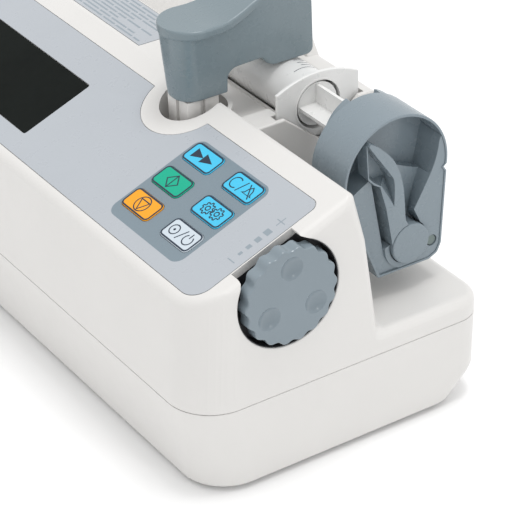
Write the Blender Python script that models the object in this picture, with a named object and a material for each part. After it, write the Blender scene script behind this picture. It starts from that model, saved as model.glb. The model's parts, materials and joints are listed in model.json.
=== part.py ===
"""Single-channel syringe infusion pump with a 30 ml syringe loaded.

Lengths are millimetres until place() turns a design point into world metres. In the design frame x is 0 on
the case's right end face and negative to the left, y is 0 near the middle of the case and grows to the rear,
and z is 0 on the underside. The object's own origin is the middle of its base, below the feet.
"""

import math

import bmesh
import bpy
from mathutils import Matrix, Vector

MM = 0.001
MERGE = 1e-4
GAP = 0.3

# Case
CASE_LENGTH = 314.0
SEAM_Z = 40.0
SEAM_GAP = 0.3
FRONT_Y = -60.0
REAR_Y = 87.3
FOOT_HEIGHT = 2.0
WALL = 2.5
FRONT_CORNER = 21.0
REAR_CORNER = 13.0
END_EDGE = 4.5
UNDERSIDE_INSET = 6.3
PANEL_TILT = math.radians(21.3)
PANEL_FOOT = (-52.7, 92.4)
RIDGE_Z = 119.7
FRONT_DRAFT = 0.06
DECK_Z = 50.0

# Knob, which sticks out of the right end face
KNOB_Y = -14.0
KNOB_Z = 86.5
KNOB_RADIUS = 22.8
KNOB_HOLE = 24.4
KNOB_OUT = 2.0
KNOB_SEAT = -8.5
KNOB_SCALLOPS = 18

MIDDLE_X = (KNOB_OUT - CASE_LENGTH) / 2
MIDDLE_Y = (FRONT_Y + REAR_Y) / 2

# Syringe cradle
CRADLE_END = -80.0
CRADLE_Z = 113.7
CRADLE_DEPTH = 16.0
SYRINGE_Y = 58.5
SYRINGE_Z = 114.0
BARREL_RADIUS = 12.3
BARREL_BORE = 11.2
FLANGE_X = -84.0

# Clamp
CLAMP_X = -114.5
CLAMP_Y = 14.4
PIT_RADIUS = 15.0
PIT_FLOOR = 98.0
CLAMP_LIFT = 28.0

# Pusher head and drive
HEAD_REAR = -22.0
HEAD_FRONT = -46.0
DRUM_Y = 55.5
DRUM_Z = 108.5
DRUM_RADIUS = 26.5
HEAD_WALL = 1.8
PIVOT_Y = 62.0
PIVOT_Z = 73.0
TUBE_RADIUS = 8.0
ROD_RADIUS = 3.0
SCREW_Y = 62.0
SCREW_Z = 48.0
SCREW_RADIUS = 4.0
GEAR_MODULE = 1.0
GEAR_TEETH = 36
PINION_TEETH = 12
GUIDE_Y = 77.0
GUIDE_Z = 60.0
PLATE_LEFT = -264.0
PLATE_RIGHT = -90.0
PLATE_THICK = 4.0

# Panel keys, in panel coordinates: x along the case, v up the slope
KEY_WIDTH = 20.5
KEY_DEPTH = 11.0
KEY_TRAVEL = 0.4
KEY_COLUMNS = (-75.75, -45.25)
KEY_ROWS = (51.0, 34.5, 18.5)
KEYS = (
    ("key_bolus", 0, 0, (0.11, 0.66, 0.92)),
    ("key_clear", 1, 0, (0.11, 0.66, 0.92)),
    ("key_start", 0, 1, (0.0, 0.51, 0.3)),
    ("key_setup", 1, 1, (0.11, 0.66, 0.92)),
    ("key_stop", 0, 2, (0.93, 0.42, 0.02)),
    ("key_power", 1, 2, (0.67, 0.74, 0.81)),
)

AXES = {"X": Vector((1, 0, 0)), "Y": Vector((0, 1, 0)), "Z": Vector((0, 0, 1))}

WHITE_PLASTIC = ("white_plastic", (0.84, 0.83, 0.80), 0.42, 0.0)
GREY_PLASTIC = ("grey_plastic", (0.26, 0.31, 0.35), 0.38, 0.0)
DARK_PLASTIC = ("dark_plastic", (0.03, 0.03, 0.035), 0.5, 0.0)
STEEL = ("steel", (0.55, 0.56, 0.58), 0.3, 1.0)
ALUMINIUM = ("aluminium", (0.7, 0.71, 0.73), 0.38, 1.0)
BRASS = ("brass", (0.72, 0.52, 0.22), 0.32, 1.0)
RUBBER = ("rubber", (0.03, 0.03, 0.03), 0.75, 0.0)
SHEET = ("panel_sheet", (0.53, 0.57, 0.62), 0.35, 0.0)
BOARD = ("circuit_board", (0.02, 0.2, 0.08), 0.45, 0.0)
CLEAR_PLASTIC = ("clear_plastic", (0.82, 0.84, 0.86), 0.12, 0.0)
GLASS_BLACK = ("display_black", (0.012, 0.014, 0.012), 0.12, 0.0)


def clear_scene():
    for obj in list(bpy.data.objects):
        bpy.data.objects.remove(obj)


def collection(name):
    found = bpy.data.collections.new(name)
    bpy.context.scene.collection.children.link(found)
    return found


def material(look):
    name, colour, roughness, metallic = look
    found = bpy.data.materials.get(name)
    if found:
        return found
    made = bpy.data.materials.new(name)
    made.use_nodes = True
    shader = made.node_tree.nodes["Principled BSDF"]
    shader.inputs["Base Color"].default_value = (*colour, 1.0)
    shader.inputs["Roughness"].default_value = roughness
    shader.inputs["Metallic"].default_value = metallic
    return made


def place(x, y, z):
    """A design point in world metres."""
    return Vector((x - MIDDLE_X, y - MIDDLE_Y, z + FOOT_HEIGHT)) * MM


# Meshes, in design millimetres


def box(low, high, edge=0.0):
    bm = bmesh.new()
    size = Vector(high) - Vector(low)
    middle = (Vector(high) + Vector(low)) / 2
    bmesh.ops.create_cube(bm, size=1.0, matrix=Matrix.LocRotScale(middle, None, size))
    if edge:
        bmesh.ops.bevel(bm, geom=bm.edges[:], offset=edge, segments=1, affect="EDGES")
    return bm


def rod(axis, middle, radius, low, high, sides=20):
    """A round bar along an axis. middle gives its two other coordinates, in x, y, z order."""
    bm = bmesh.new()
    turn = Vector((0, 0, 1)).rotation_difference(AXES[axis])
    centre = on_axis(axis, middle, (low + high) / 2)
    bmesh.ops.create_cone(
        bm,
        cap_ends=True,
        segments=sides,
        radius1=radius,
        radius2=radius,
        depth=high - low,
        matrix=Matrix.LocRotScale(centre, turn, None),
    )
    return bm


def on_axis(axis, middle, along):
    first, second = middle
    return {
        "X": Vector((along, first, second)),
        "Y": Vector((first, along, second)),
        "Z": Vector((first, second, along)),
    }[axis]


def plate(axis, outline, low, high):
    """A flat outline, in the plane across an axis, made solid between two places on that axis."""
    bm = bmesh.new()
    face = bm.faces.new([bm.verts.new(on_axis(axis, point, low)) for point in outline])
    made = bmesh.ops.extrude_face_region(bm, geom=[face])
    moved = [item for item in made["geom"] if isinstance(item, bmesh.types.BMVert)]
    bmesh.ops.translate(bm, verts=moved, vec=AXES[axis] * (high - low))
    return bm


def turned(axis, middle, profile, sides=24):
    """A solid of revolution. The profile holds (place on the axis, radius) pairs and closes on itself."""
    bm = bmesh.new()
    centre = on_axis(axis, middle, 0.0)
    side = {"X": Vector((0, 0, 1)), "Y": Vector((0, 0, 1)), "Z": Vector((1, 0, 0))}[axis]
    points = [bm.verts.new(centre + AXES[axis] * along + side * radius) for along, radius in profile]
    edges = [bm.edges.new((a, b)) for a, b in zip(points, points[1:] + points[:1])]
    bmesh.ops.spin(
        bm, geom=points + edges, cent=centre, axis=AXES[axis], angle=2 * math.pi, steps=sides, use_merge=True
    )
    bmesh.ops.remove_doubles(bm, verts=bm.verts, dist=MERGE)
    bmesh.ops.dissolve_degenerate(bm, edges=bm.edges, dist=MERGE)
    return bm


def loft(rings):
    """A closed skin through rings that hold the same number of points."""
    bm = bmesh.new()
    rows = [[bm.verts.new(point) for point in ring] for ring in rings]
    for row, following in zip(rows, rows[1:]):
        for i, vert in enumerate(row):
            after = (i + 1) % len(row)
            bm.faces.new((vert, row[after], following[after], following[i]))
    bm.faces.new(rows[0])
    bm.faces.new(rows[-1])
    bm.normal_update()
    bmesh.ops.triangulate(bm, faces=bm.faces)
    return bm


def joined(*meshes):
    """Several closed meshes in one, for a cutter with more than one tool."""
    bm = bmesh.new()
    for other in meshes:
        mesh = bpy.data.meshes.new("part")
        other.to_mesh(mesh)
        other.free()
        bm.from_mesh(mesh)
        bpy.data.meshes.remove(mesh)
    return bm


# Outlines


def arc(middle, radius, start, end, steps):
    """Points on an arc, from one angle to another, in degrees."""
    angles = [math.radians(start + (end - start) * i / steps) for i in range(steps + 1)]
    return [(middle[0] + radius * math.cos(a), middle[1] + radius * math.sin(a)) for a in angles]


def rounded(corners, steps):
    """An outline whose corners are (u, v, radius), each round corner drawn in a number of steps."""
    points = []
    for i, (u, v, radius) in enumerate(corners):
        here = Vector((u, v))
        if not radius:
            points.append((u, v))
            continue
        to_last = (Vector(corners[i - 1][:2]) - here).normalized()
        to_next = (Vector(corners[(i + 1) % len(corners)][:2]) - here).normalized()
        half = to_last.angle(to_next) / 2
        centre = here + (to_last + to_next).normalized() * radius / math.sin(half)
        start = here + to_last * radius / math.tan(half) - centre
        end = here + to_next * radius / math.tan(half) - centre
        turn = start.angle_signed(end)
        for k in range(steps + 1):
            spoke = start.copy()
            spoke.rotate(Matrix.Rotation(-turn * k / steps, 2))
            points.append(tuple(centre + spoke))
    return points


def rounded_box(low_u, high_u, low_v, high_v, radius, steps=2):
    sides = ((low_u, low_v), (high_u, low_v), (high_u, high_v), (low_u, high_v))
    return rounded([(u, v, radius) for u, v in sides], steps)


def corner(radius, distance):
    """How far a rounded corner has fallen back, at a distance from the face that it rounds."""
    if distance >= radius:
        return 0.0
    return radius - math.sqrt(radius**2 - (radius - distance) ** 2)


def corner_stations(radius, steps):
    return [radius * (1 - math.cos(math.pi / 2 * i / steps)) for i in range(steps + 1)]


def on_panel(x, v, w):
    """A point of the sloping panel: x along the case, v up the slope, w out of the surface."""
    foot_y, foot_z = PANEL_FOOT
    y = foot_y + v * math.cos(PANEL_TILT) - w * math.sin(PANEL_TILT)
    return Vector((x, y, foot_z + v * math.sin(PANEL_TILT) + w * math.cos(PANEL_TILT)))


def panel_plate(outline, low, high):
    """A solid that stands on the panel: its outline holds (x, v) points, between two heights above it."""
    return loft([[on_panel(x, v, w) for x, v in outline] for w in (low, high)])


# Objects


def add(name, bm, look, origin=(0, 0, 0), smooth=40):
    """A part made from a mesh in design millimetres, with its origin at a design point."""
    obj = mesh_object(name, bm, origin)
    obj.data.materials.append(material(look))
    obj.data.shade_smooth()
    obj.data.set_sharp_from_angle(angle=math.radians(smooth))
    PARTS.objects.link(obj)
    return obj


def mesh_object(name, bm, origin=(0, 0, 0)):
    bmesh.ops.remove_doubles(bm, verts=bm.verts, dist=MERGE)
    bmesh.ops.recalc_face_normals(bm, faces=bm.faces)
    start = place(*origin)
    for vert in bm.verts:
        vert.co = place(*vert.co) - start
    mesh = bpy.data.meshes.new(name)
    bm.to_mesh(mesh)
    bm.free()
    obj = bpy.data.objects.new(name, mesh)
    obj.location = start
    return obj


def shape(target, operation, *meshes, solver="EXACT"):
    """Cuts meshes from a part or joins them to it, one after another."""
    for bm in meshes:
        tool = mesh_object(f"{target.name}_tool", bm)
        tool.hide_render = True
        tool.display_type = "WIRE"
        CUTTERS.objects.link(tool)
        modifier = target.modifiers.new(operation.lower(), "BOOLEAN")
        modifier.operation = operation
        modifier.object = tool
        modifier.solver = solver


# Case


def ends(inset, steps):
    """x stations along the case, close together where its ends are rounded."""
    near = sorted(set(corner_stations(FRONT_CORNER, steps) + corner_stations(END_EDGE, 2)))
    right = [-inset - distance for distance in near]
    return right, [-CASE_LENGTH - x for x in right[::-1]]


def console_section(x, inset, steps):
    """The (y, z) outline of the upper case: sloping console in front, then its back, then the low deck."""
    to_end = min(-x, x + CASE_LENGTH) - inset
    front = FRONT_Y + corner(FRONT_CORNER, to_end) + inset
    drop = corner(END_EDGE, to_end) + inset
    rear = REAR_Y - corner(REAR_CORNER, to_end) - inset
    slope = math.tan(PANEL_TILT)
    foot_y, foot_z = PANEL_FOOT
    panel_z = foot_z - drop / math.cos(PANEL_TILT)
    bottom = SEAM_Z + SEAM_GAP / 2 - inset
    brow_z = (panel_z + slope * (front - FRONT_DRAFT * SEAM_Z - foot_y)) / (1 - slope * FRONT_DRAFT)
    brow_y = front + FRONT_DRAFT * (brow_z - SEAM_Z)
    top = RIDGE_Z - 1.6 * drop
    ridge_y = foot_y + (top - panel_z) / slope
    shelf = min(1.0, max(0.0, (-140.0 - x) / 6.0))
    back_y = 19.8 + (45.2 - 19.8) * shelf - drop
    waist_y = 25.4 + (45.4 - 25.4) * shelf - drop
    heel_y = 31.8 + (45.6 - 31.8) * shelf - drop
    corners = [
        (front, bottom, 0),
        (brow_y, brow_z, 5.5 if not inset else 3.0),
        (ridge_y, top, 3.0),
        (back_y, top, 1.5),
        (waist_y, 97.0, 0),
        (heel_y, DECK_Z - drop, 5.0),
        (rear, DECK_Z - drop, 4.5),
        (rear, bottom, 0),
    ]
    return [(x, y, z) for y, z in rounded(corners, steps)]


def console(inset=0.0, steps=2, end_steps=4):
    right, left = ends(inset, end_steps)
    shelf_stations = [-140.0, -146.0]
    stations = right + shelf_stations + left
    return loft([console_section(x, inset, steps) for x in stations])


def cradle_section(x, steps):
    """The (y, z) outline of the block with the V-shaped trough that the syringe lies in."""
    to_left = x + CASE_LENGTH - GAP
    drop = corner(END_EDGE, to_left) + corner(1.0, CRADLE_END - x)
    rear = REAR_Y - GAP - corner(REAR_CORNER, to_left)
    top = CRADLE_Z - drop
    half = 19.5
    corners = [
        (14.0, 44.0, 0),
        (14.0, top, 0),
        (SYRINGE_Y - half, top, 1.2),
        (SYRINGE_Y, top - CRADLE_DEPTH, 4.0),
        (SYRINGE_Y + half, top, 1.2),
        (rear, top, 2.5),
        (rear, 44.0, 0),
    ]
    return [(x, y, z) for y, z in rounded(corners, steps)]


def cradle(steps=2):
    right = [CRADLE_END - distance for distance in corner_stations(1.0, steps)]
    left = [GAP - CASE_LENGTH + distance for distance in corner_stations(REAR_CORNER, 4)[::-1]]
    return loft([cradle_section(x, steps) for x in right + left])


def cradle_back_wall():
    outline = [(-300.0, 104.0), (-116.5, 104.0), (-133.4, 128.0), (-300.0, 128.0)]
    return plate("Y", outline, 80.5, 86.6)


def pit_cup():
    return rod("Z", (CLAMP_X, CLAMP_Y), PIT_RADIUS + WALL, PIT_FLOOR - WALL, 125.0, 28)


def knob_cup():
    return rod("X", (KNOB_Y, KNOB_Z), KNOB_HOLE + WALL, KNOB_SEAT - WALL, 3.0, 32)


def notch_cup():
    return box((KNOB_SEAT - WALL, -38.0, 84.0), (3.0, -4.0, 114.0))


def tube_boss():
    return rod("X", (PIVOT_Y, PIVOT_Z), 13.0, CRADLE_END - 5.5, CRADLE_END - 1.0, 20)


def overlay_outline(inset, steps=4):
    """The printed sheet's outline on the panel, cut round the clamp's pit."""
    left, right, low, top = -303.5 + inset, -10.5 - inset, inset, 65.0 - inset
    sheet = rounded([(left, low, 9.0), (right, low, 9.0), (right, top, 4.5), (left, top, 4.5)], steps)
    reach = 22.0 + inset
    middle = (CLAMP_X, 69.0)
    dip = math.degrees(math.asin((middle[1] - top) / reach))
    before_dip = 3 * (steps + 1)
    return sheet[:before_dip] + arc(middle, reach, -dip, dip - 180, 3 * steps) + sheet[before_dip:]


def key_outline(column, row, grow, steps=2):
    x = KEY_COLUMNS[column]
    v = KEY_ROWS[row]
    half_u = KEY_WIDTH / 2 + grow
    half_v = KEY_DEPTH / 2 + grow
    return rounded_box(x - half_u, x + half_u, v - half_v, v + half_v, 2.5 + grow, steps)


def display_outline(grow, steps=2):
    return rounded_box(-262.0 - grow, -164.5 + grow, 10.5 - grow, 47.0 + grow, max(0.5, 1.0 + grow), steps)


def trough_outline(steps=8):
    """The (x, y) outline of the well beside the syringe, kept clear of the wall round the clamp's pit."""
    near, far = 22.0, 46.0
    left, right = -150.0, -93.0
    reach = PIT_RADIUS + 1.8
    angle = math.degrees(math.asin((near - CLAMP_Y) / reach))
    bay = arc((CLAMP_X, CLAMP_Y), reach, angle, 180 - angle, steps)
    return [(left, near), (left, far), (right, far), (right, near)] + bay


def build_upper_case():
    """Its long thin faces defeat the exact solver, so this one case uses the manifold solver."""
    case = add("upper_case", console(), WHITE_PLASTIC)
    hollow = mesh_object("console_hollow", console(inset=WALL, steps=1, end_steps=2))
    hollow.hide_render = True
    hollow.display_type = "WIRE"
    CUTTERS.objects.link(hollow)
    shape(hollow, "DIFFERENCE", pit_cup(), knob_cup(), notch_cup(), solver="MANIFOLD")
    shape(case, "UNION", cradle(), cradle_back_wall(), solver="MANIFOLD")
    modifier = case.modifiers.new("hollow", "BOOLEAN")
    modifier.object = hollow
    modifier.solver = "MANIFOLD"
    cradle_hollow = box((-CASE_LENGTH + 14.0, 13.0, 30.0), (CRADLE_END - WALL, REAR_Y - GAP - WALL, 93.5))
    shape(case, "DIFFERENCE", cradle_hollow, solver="MANIFOLD")
    shape(case, "UNION", tube_boss(), solver="MANIFOLD")
    slot = box((FLANGE_X - 2.2, SYRINGE_Y - 23.0, 96.4), (FLANGE_X + 2.2, SYRINGE_Y + 23.0, 125.0))
    tube_hole = rod("X", (PIVOT_Y, PIVOT_Z), TUBE_RADIUS + 0.4, -95.0, -70.0, 24)
    seal_seat = rod("X", (PIVOT_Y, PIVOT_Z), 11.3, CRADLE_END - 3.3, -70.0, 24)
    pit = rod("Z", (CLAMP_X, CLAMP_Y), PIT_RADIUS, PIT_FLOOR, 140.0, 28)
    post_hole = box((CLAMP_X - 8.4, CLAMP_Y - 8.4, 80.0), (CLAMP_X + 8.4, CLAMP_Y + 8.4, 110.0))
    knob_hole = rod("X", (KNOB_Y, KNOB_Z), KNOB_HOLE, KNOB_SEAT, 10.0, 32)
    shaft_hole = rod("X", (KNOB_Y, KNOB_Z), ROD_RADIUS + 0.4, -30.0, -5.0, 16)
    notch = box((KNOB_SEAT, -35.5, 92.0), (10.0, -6.5, 130.0))
    shape(case, "DIFFERENCE", plate("Z", trough_outline(), 106.0, 125.0), solver="MANIFOLD")
    holes = (slot, tube_hole, seal_seat, pit, post_hole, knob_hole, shaft_hole, notch)
    shape(case, "DIFFERENCE", *holes, solver="MANIFOLD")
    recess = panel_plate(overlay_outline(-GAP), -0.6, 8.0)
    windows = [panel_plate(key_outline(c, r, 0.3), -6.0, 4.0) for _, c, r, _ in KEYS]
    display_hole = panel_plate(display_outline(-1.5), -6.0, 4.0)
    label_seat = box((-308.0 - GAP, 19.4 - GAP, RIDGE_Z - 0.6), (-168.0 + GAP, 43.4 + GAP, 130.0))
    shape(case, "DIFFERENCE", recess, joined(*windows), display_hole, label_seat, solver="MANIFOLD")


def lower_ring(z, inset, steps):
    """The lower case's outline at one height. The front leans out and the rear foot is cut off at an angle."""
    lean = UNDERSIDE_INSET * (1 - z / SEAM_Z)
    foot = max(0.0, 12.3 - z)
    side = 1.5 * (1 - z / SEAM_Z)
    front = FRONT_Y + lean + inset
    rear = REAR_Y - foot - inset
    left = -CASE_LENGTH + side + inset
    right = -side - inset
    corners = [
        (left, front, FRONT_CORNER - inset),
        (right, front, FRONT_CORNER - inset),
        (right, rear, REAR_CORNER - inset),
        (left, rear, REAR_CORNER - inset),
    ]
    return [(x, y, z) for x, y in rounded(corners, steps)]


def lower_shell(steps=4):
    top = SEAM_Z - SEAM_GAP / 2
    outside = [lower_ring(z, 1.0 * (z == 0), steps) for z in (0.0, 1.0, 12.3, top)]
    inside = [lower_ring(z, WALL, steps) for z in (top, 12.3, WALL)]
    return loft(outside + inside)


FEET = (("foot_front_left", -284.0, -34.0), ("foot_front_right", -30.0, -34.0),
        ("foot_rear_left", -284.0, 60.0), ("foot_rear_right", -30.0, 60.0))
CHASSIS_POSTS = ((-250.0, 32.0), (-104.0, 32.0), (-250.0, 74.0), (-104.0, 74.0))
CHASSIS_Z = 14.0
COVER_LOW = (-206.0, -46.0)
COVER_HIGH = (-96.0, -6.0)
INLET_X = -288.3
INLET_Z = 24.0
FUSE_X = -246.0


def build_lower_case():
    case = add("lower_case", lower_shell(), WHITE_PLASTIC)
    posts = [rod("Z", post, 4.0, WALL - 0.5, CHASSIS_Z - GAP, 10) for post in CHASSIS_POSTS]
    shape(case, "UNION", *posts)
    (low_x, low_y), (high_x, high_y) = COVER_LOW, COVER_HIGH
    door = box((low_x - GAP, low_y - GAP, -5.0), (high_x + GAP, high_y + GAP, 10.0))
    inlet = box((INLET_X - 13.8, 70.0, INLET_Z - 9.9), (INLET_X + 13.8, 100.0, INLET_Z + 9.9))
    fuse = rod("Y", (FUSE_X, INLET_Z), 6.4, 70.0, 100.0, 20)
    seats = [rod("Z", (x, y), 7.3, -3.0, 1.0, 16) for _, x, y in FEET]
    shape(case, "DIFFERENCE", door, inlet, fuse, joined(*seats))


def build_base_parts():
    for name, x, y in FEET:
        profile = [(-FOOT_HEIGHT, 0), (-FOOT_HEIGHT, 6.2), (-FOOT_HEIGHT + 0.8, 7.0), (0.7, 7.0), (0.7, 0)]
        add(name, turned("Z", (x, y), profile, 16), RUBBER, (x, y, 0))
    (low_x, low_y), (high_x, high_y) = COVER_LOW, COVER_HIGH
    add("battery_cover", box((low_x, low_y, 0.0), (high_x, high_y, 2.2), 0.3), WHITE_PLASTIC)
    add("battery_pack", box((low_x + 6, low_y + 3, 3.0), (high_x - 6, high_y - 3, 24.0), 1.5), DARK_PLASTIC)


def build_inlet():
    body = add("mains_inlet", box(
        (INLET_X - 13.5, 66.0, INLET_Z - 9.6), (INLET_X + 13.5, REAR_Y - 0.6, INLET_Z + 9.6)
    ),
               DARK_PLASTIC)
    hollow = box((INLET_X - 11.8, 70.0, INLET_Z - 7.6), (INLET_X + 11.8, 95.0, INLET_Z + 7.6))
    pins = [box((INLET_X + x - 1.0, 69.0, INLET_Z + z - 2.2), (INLET_X + x + 1.0, 82.0, INLET_Z + z + 2.2))
            for x, z in ((-7.0, -1.5), (0.0, 2.0), (7.0, -1.5))]
    shape(body, "DIFFERENCE", hollow)
    shape(body, "UNION", *pins)
    profile = [(66.0, 0), (66.0, 5.0), (84.0, 5.0), (84.0, 6.1), (REAR_Y - 0.5, 6.1), (REAR_Y - 0.5, 0)]
    fuse = add("fuse_holder", turned("Y", (FUSE_X, INLET_Z), profile, 20), DARK_PLASTIC)
    shape(fuse, "DIFFERENCE", box((FUSE_X - 4.5, 86.0, INLET_Z - 0.6), (FUSE_X + 4.5, 90.0, INLET_Z + 0.6)))


# Panel


def build_panel():
    sheet = add("panel_sheet", panel_plate(overlay_outline(0.0), -0.3, 0.05), SHEET)
    windows = [panel_plate(key_outline(c, r, 0.3), -3.0, 3.0) for _, c, r, _ in KEYS]
    shape(sheet, "DIFFERENCE", joined(*windows), panel_plate(display_outline(GAP), -3.0, 3.0))
    add("display_window", panel_plate(display_outline(0.0), -0.3, 0.0), GLASS_BLACK)
    add(
        "display_module",
        panel_plate(rounded_box(-258.0, -168.5, 14.0, 43.5, 1.0, 1), -9.0, -0.9),
        DARK_PLASTIC,
    )
    add("key_board", panel_plate(rounded_box(-90.0, -31.0, 8.0, 60.0, 2.0, 1), -5.5, -3.9), BOARD)
    add("instruction_plate", box((-308.0, 19.4, RIDGE_Z - 0.3), (-168.0, 43.4, RIDGE_Z + 0.1)), SHEET)
    for name, column, row, colour in KEYS:
        outlines = ((0.0, -3.2), (0.0, 0.2), (-0.6, 0.6))
        rings = [[on_panel(x, v, w) for x, v in key_outline(column, row, grow)] for grow, w in outlines]
        origin = on_panel(KEY_COLUMNS[column], KEY_ROWS[row], 0.0)
        add(name, loft(rings), (f"{name}_face", colour, 0.35, 0.0), origin)


def knob_outline(steps=2):
    """Shallow scallops round the rim, so that it can be turned with a fingertip."""
    count = KNOB_SCALLOPS * steps
    points = []
    for i in range(count):
        angle = 2 * math.pi * i / count
        radius = KNOB_RADIUS - 0.95 * (1 - math.cos(KNOB_SCALLOPS * angle))
        points.append((KNOB_Y + radius * math.cos(angle), KNOB_Z + radius * math.sin(angle)))
    return points


def build_knob():
    knob = add(
        "knob", plate("X", knob_outline(), KNOB_SEAT + 0.7, KNOB_OUT), GREY_PLASTIC, (0, KNOB_Y, KNOB_Z)
    )
    dimples = [
        rod(
            "X",
            (KNOB_Y + 13.0 * math.cos(a), KNOB_Z + 13.0 * math.sin(a)),
            5.5,
            KNOB_OUT - 0.8,
            KNOB_OUT + 3,
            12,
        )
        for a in (math.radians(angle) for angle in (90, 210, 330))
    ]
    bore = rod("X", (KNOB_Y, KNOB_Z), ROD_RADIUS + GAP, -20.0, -2.0, 16)
    shape(knob, "DIFFERENCE", joined(*dimples), bore)
    add("knob_shaft", rod("X", (KNOB_Y, KNOB_Z), ROD_RADIUS, -22.0, -2.3, 16), STEEL, (0, KNOB_Y, KNOB_Z))
    encoder = add("knob_encoder", box(
        (-27.0, KNOB_Y - 10.0, KNOB_Z - 10.0), (-12.0, KNOB_Y + 10.0, KNOB_Z + 10.0)
    ),
                  DARK_PLASTIC)
    shape(encoder, "DIFFERENCE", rod("X", (KNOB_Y, KNOB_Z), ROD_RADIUS + GAP, -22.3, -10.0, 16))


# Electronics inside the case


def build_boards():
    board = add("main_board", box((-300.0, -46.0, 28.0), (-20.0, 5.0, 29.6)), BOARD)
    chips = [
        box((-150.0, -30.0, 29.0), (-126.0, -6.0, 32.0)),
        box((-96.0, -34.0, 29.0), (-82.0, -20.0, 31.5)),
        box((-60.0, -20.0, 29.0), (-36.0, -12.0, 36.0)),
        box((-290.0, -40.0, 29.0), (-262.0, -16.0, 48.0)),
        box((-250.0, -40.0, 29.0), (-222.0, -12.0, 56.0)),
    ]
    shape(board, "UNION", *chips)
    cup = [(6.0, 0), (6.0, 15.0), (8.0, 15.0), (8.0, 10.0), (13.0, 8.0), (13.0, 0)]
    add("speaker", turned("Z", (-52.0, 30.0), cup, 20), DARK_PLASTIC)


# Clamp


def clamp_below():
    """The (y, z) outline of the space behind the clamp's column and below its beam. The pad lies on the barrel."""
    pad = SYRINGE_Z + BARREL_RADIUS + GAP
    corners = [
        (26.3, 100.0, 0),
        (26.3, 131.4, 4.6),
        (43.6, 131.9, 0),
        (46.8, pad + 1.6, 0),
        (50.0, pad, 0),
        (70.8, pad, 2.5),
        (68.9, 170.0, 0),
        (90.0, 170.0, 0),
        (90.0, 100.0, 0),
    ]
    return rounded(corners, 2)


def clamp_above():
    """The (y, z) outline of the space above the beam, which rises to the rear."""
    return [(-10.0, 155.3), (24.0, 155.3), (34.0, 158.0), (44.0, 161.6), (52.0, 163.0), (90.0, 163.0), (
        90.0, 175.0
    ),
            (-10.0, 175.0)]


def clamp_block():
    """Rings of the tapering block that the clamp's arm is cut from."""
    rings = []
    for z, half in ((120.4, 9.9), (135.0, 10.7), (150.0, 11.3), (166.0, 11.4)):
        front = 1.2 + (152.0 - z) * 0.08
        corners = [
            (CLAMP_X - half, front, 9.0),
            (CLAMP_X + half, front, 9.0),
            (CLAMP_X + half, 71.6, 0),
            (CLAMP_X - half, 71.6, 0),
        ]
        rings.append([(x, y, z) for x, y in rounded(corners, 3)])
    return loft(rings)


def build_clamp():
    origin = (CLAMP_X, CLAMP_Y, 0)
    arm = add("clamp_arm", clamp_block(), GREY_PLASTIC, origin)
    wide = (CLAMP_X - 20.0, CLAMP_X + 20.0)
    shape(arm, "DIFFERENCE", plate("X", clamp_below(), *wide), plate("X", clamp_above(), *wide))
    rim = [(150.6, 0), (150.6, 13.4), (151.6, 14.4), (154.4, 14.4), (155.4, 13.0), (155.4, 0)]
    shape(arm, "UNION", turned("Z", (CLAMP_X, CLAMP_Y), rim, 24))
    shape(arm, "DIFFERENCE", rod("Z", (CLAMP_X, CLAMP_Y), 4.3, 110.0, 142.3, 16))
    post = add("clamp_post", plate("Z", post_outline(), 82.0, 120.0), WHITE_PLASTIC, origin)
    shape(post, "DIFFERENCE", rod("Z", (CLAMP_X, CLAMP_Y), 4.3, 70.0, 130.0, 16))
    profile = [(26.0, 0), (26.0, 7.0), (28.0, 7.0), (28.0, 4.0), (142.0, 4.0), (142.0, 0)]
    add("clamp_shaft", turned("Z", (CLAMP_X, CLAMP_Y), profile, 16), STEEL, origin)
    low_x, high_x = CLAMP_X - 14.0, CLAMP_X + 14.0
    channel = [(low_x, 76.0), (high_x, 76.0), (high_x, 95.2), (high_x - 2, 95.2), (high_x - 2, 79.0),
               (low_x + 2, 79.0), (low_x + 2, 95.2), (low_x, 95.2)]
    bracket = add("clamp_bracket", plate("Y", channel, CLAMP_Y - 8.0, CLAMP_Y + 8.0), STEEL)
    shape(bracket, "DIFFERENCE", rod("Z", (CLAMP_X, CLAMP_Y), 4.3, 70.0, 90.0, 16))
    build_spring("clamp_spring", 28.8, 75.2, 5.7, 0.5, 9)


def post_outline():
    """A square post with a groove down the middle of each side."""
    half, groove, depth = 8.0, 1.2, 1.6
    side = [(half, -half), (half, -groove), (half - depth, -groove), (half - depth, groove), (half, groove)]
    points = []
    for quarter in range(4):
        turn = Matrix.Rotation(quarter * math.pi / 2, 2)
        points += [tuple(Vector((CLAMP_X, CLAMP_Y)) + turn @ Vector(point)) for point in side]
    return points


def build_spring(name, low, high, radius, wire, turns):
    """A compression spring round the clamp's shaft, as a bevelled curve."""
    points_a_turn = 10
    count = turns * points_a_turn + 1
    curve = bpy.data.curves.new(name, "CURVE")
    curve.dimensions = "3D"
    curve.bevel_depth = wire * MM
    curve.bevel_resolution = 1
    curve.use_fill_caps = True
    spline = curve.splines.new("POLY")
    spline.points.add(count - 1)
    origin = place(CLAMP_X, CLAMP_Y, 0)
    for i, point in enumerate(spline.points):
        angle = 2 * math.pi * i / points_a_turn
        x = CLAMP_X + radius * math.cos(angle)
        y = CLAMP_Y + radius * math.sin(angle)
        z = low + (high - low) * i / (count - 1)
        point.co = (*(place(x, y, z) - origin), 1.0)
    obj = bpy.data.objects.new(name, curve)
    obj.location = origin
    curve.materials.append(material(STEEL))
    PARTS.objects.link(obj)


# Pusher head


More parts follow.
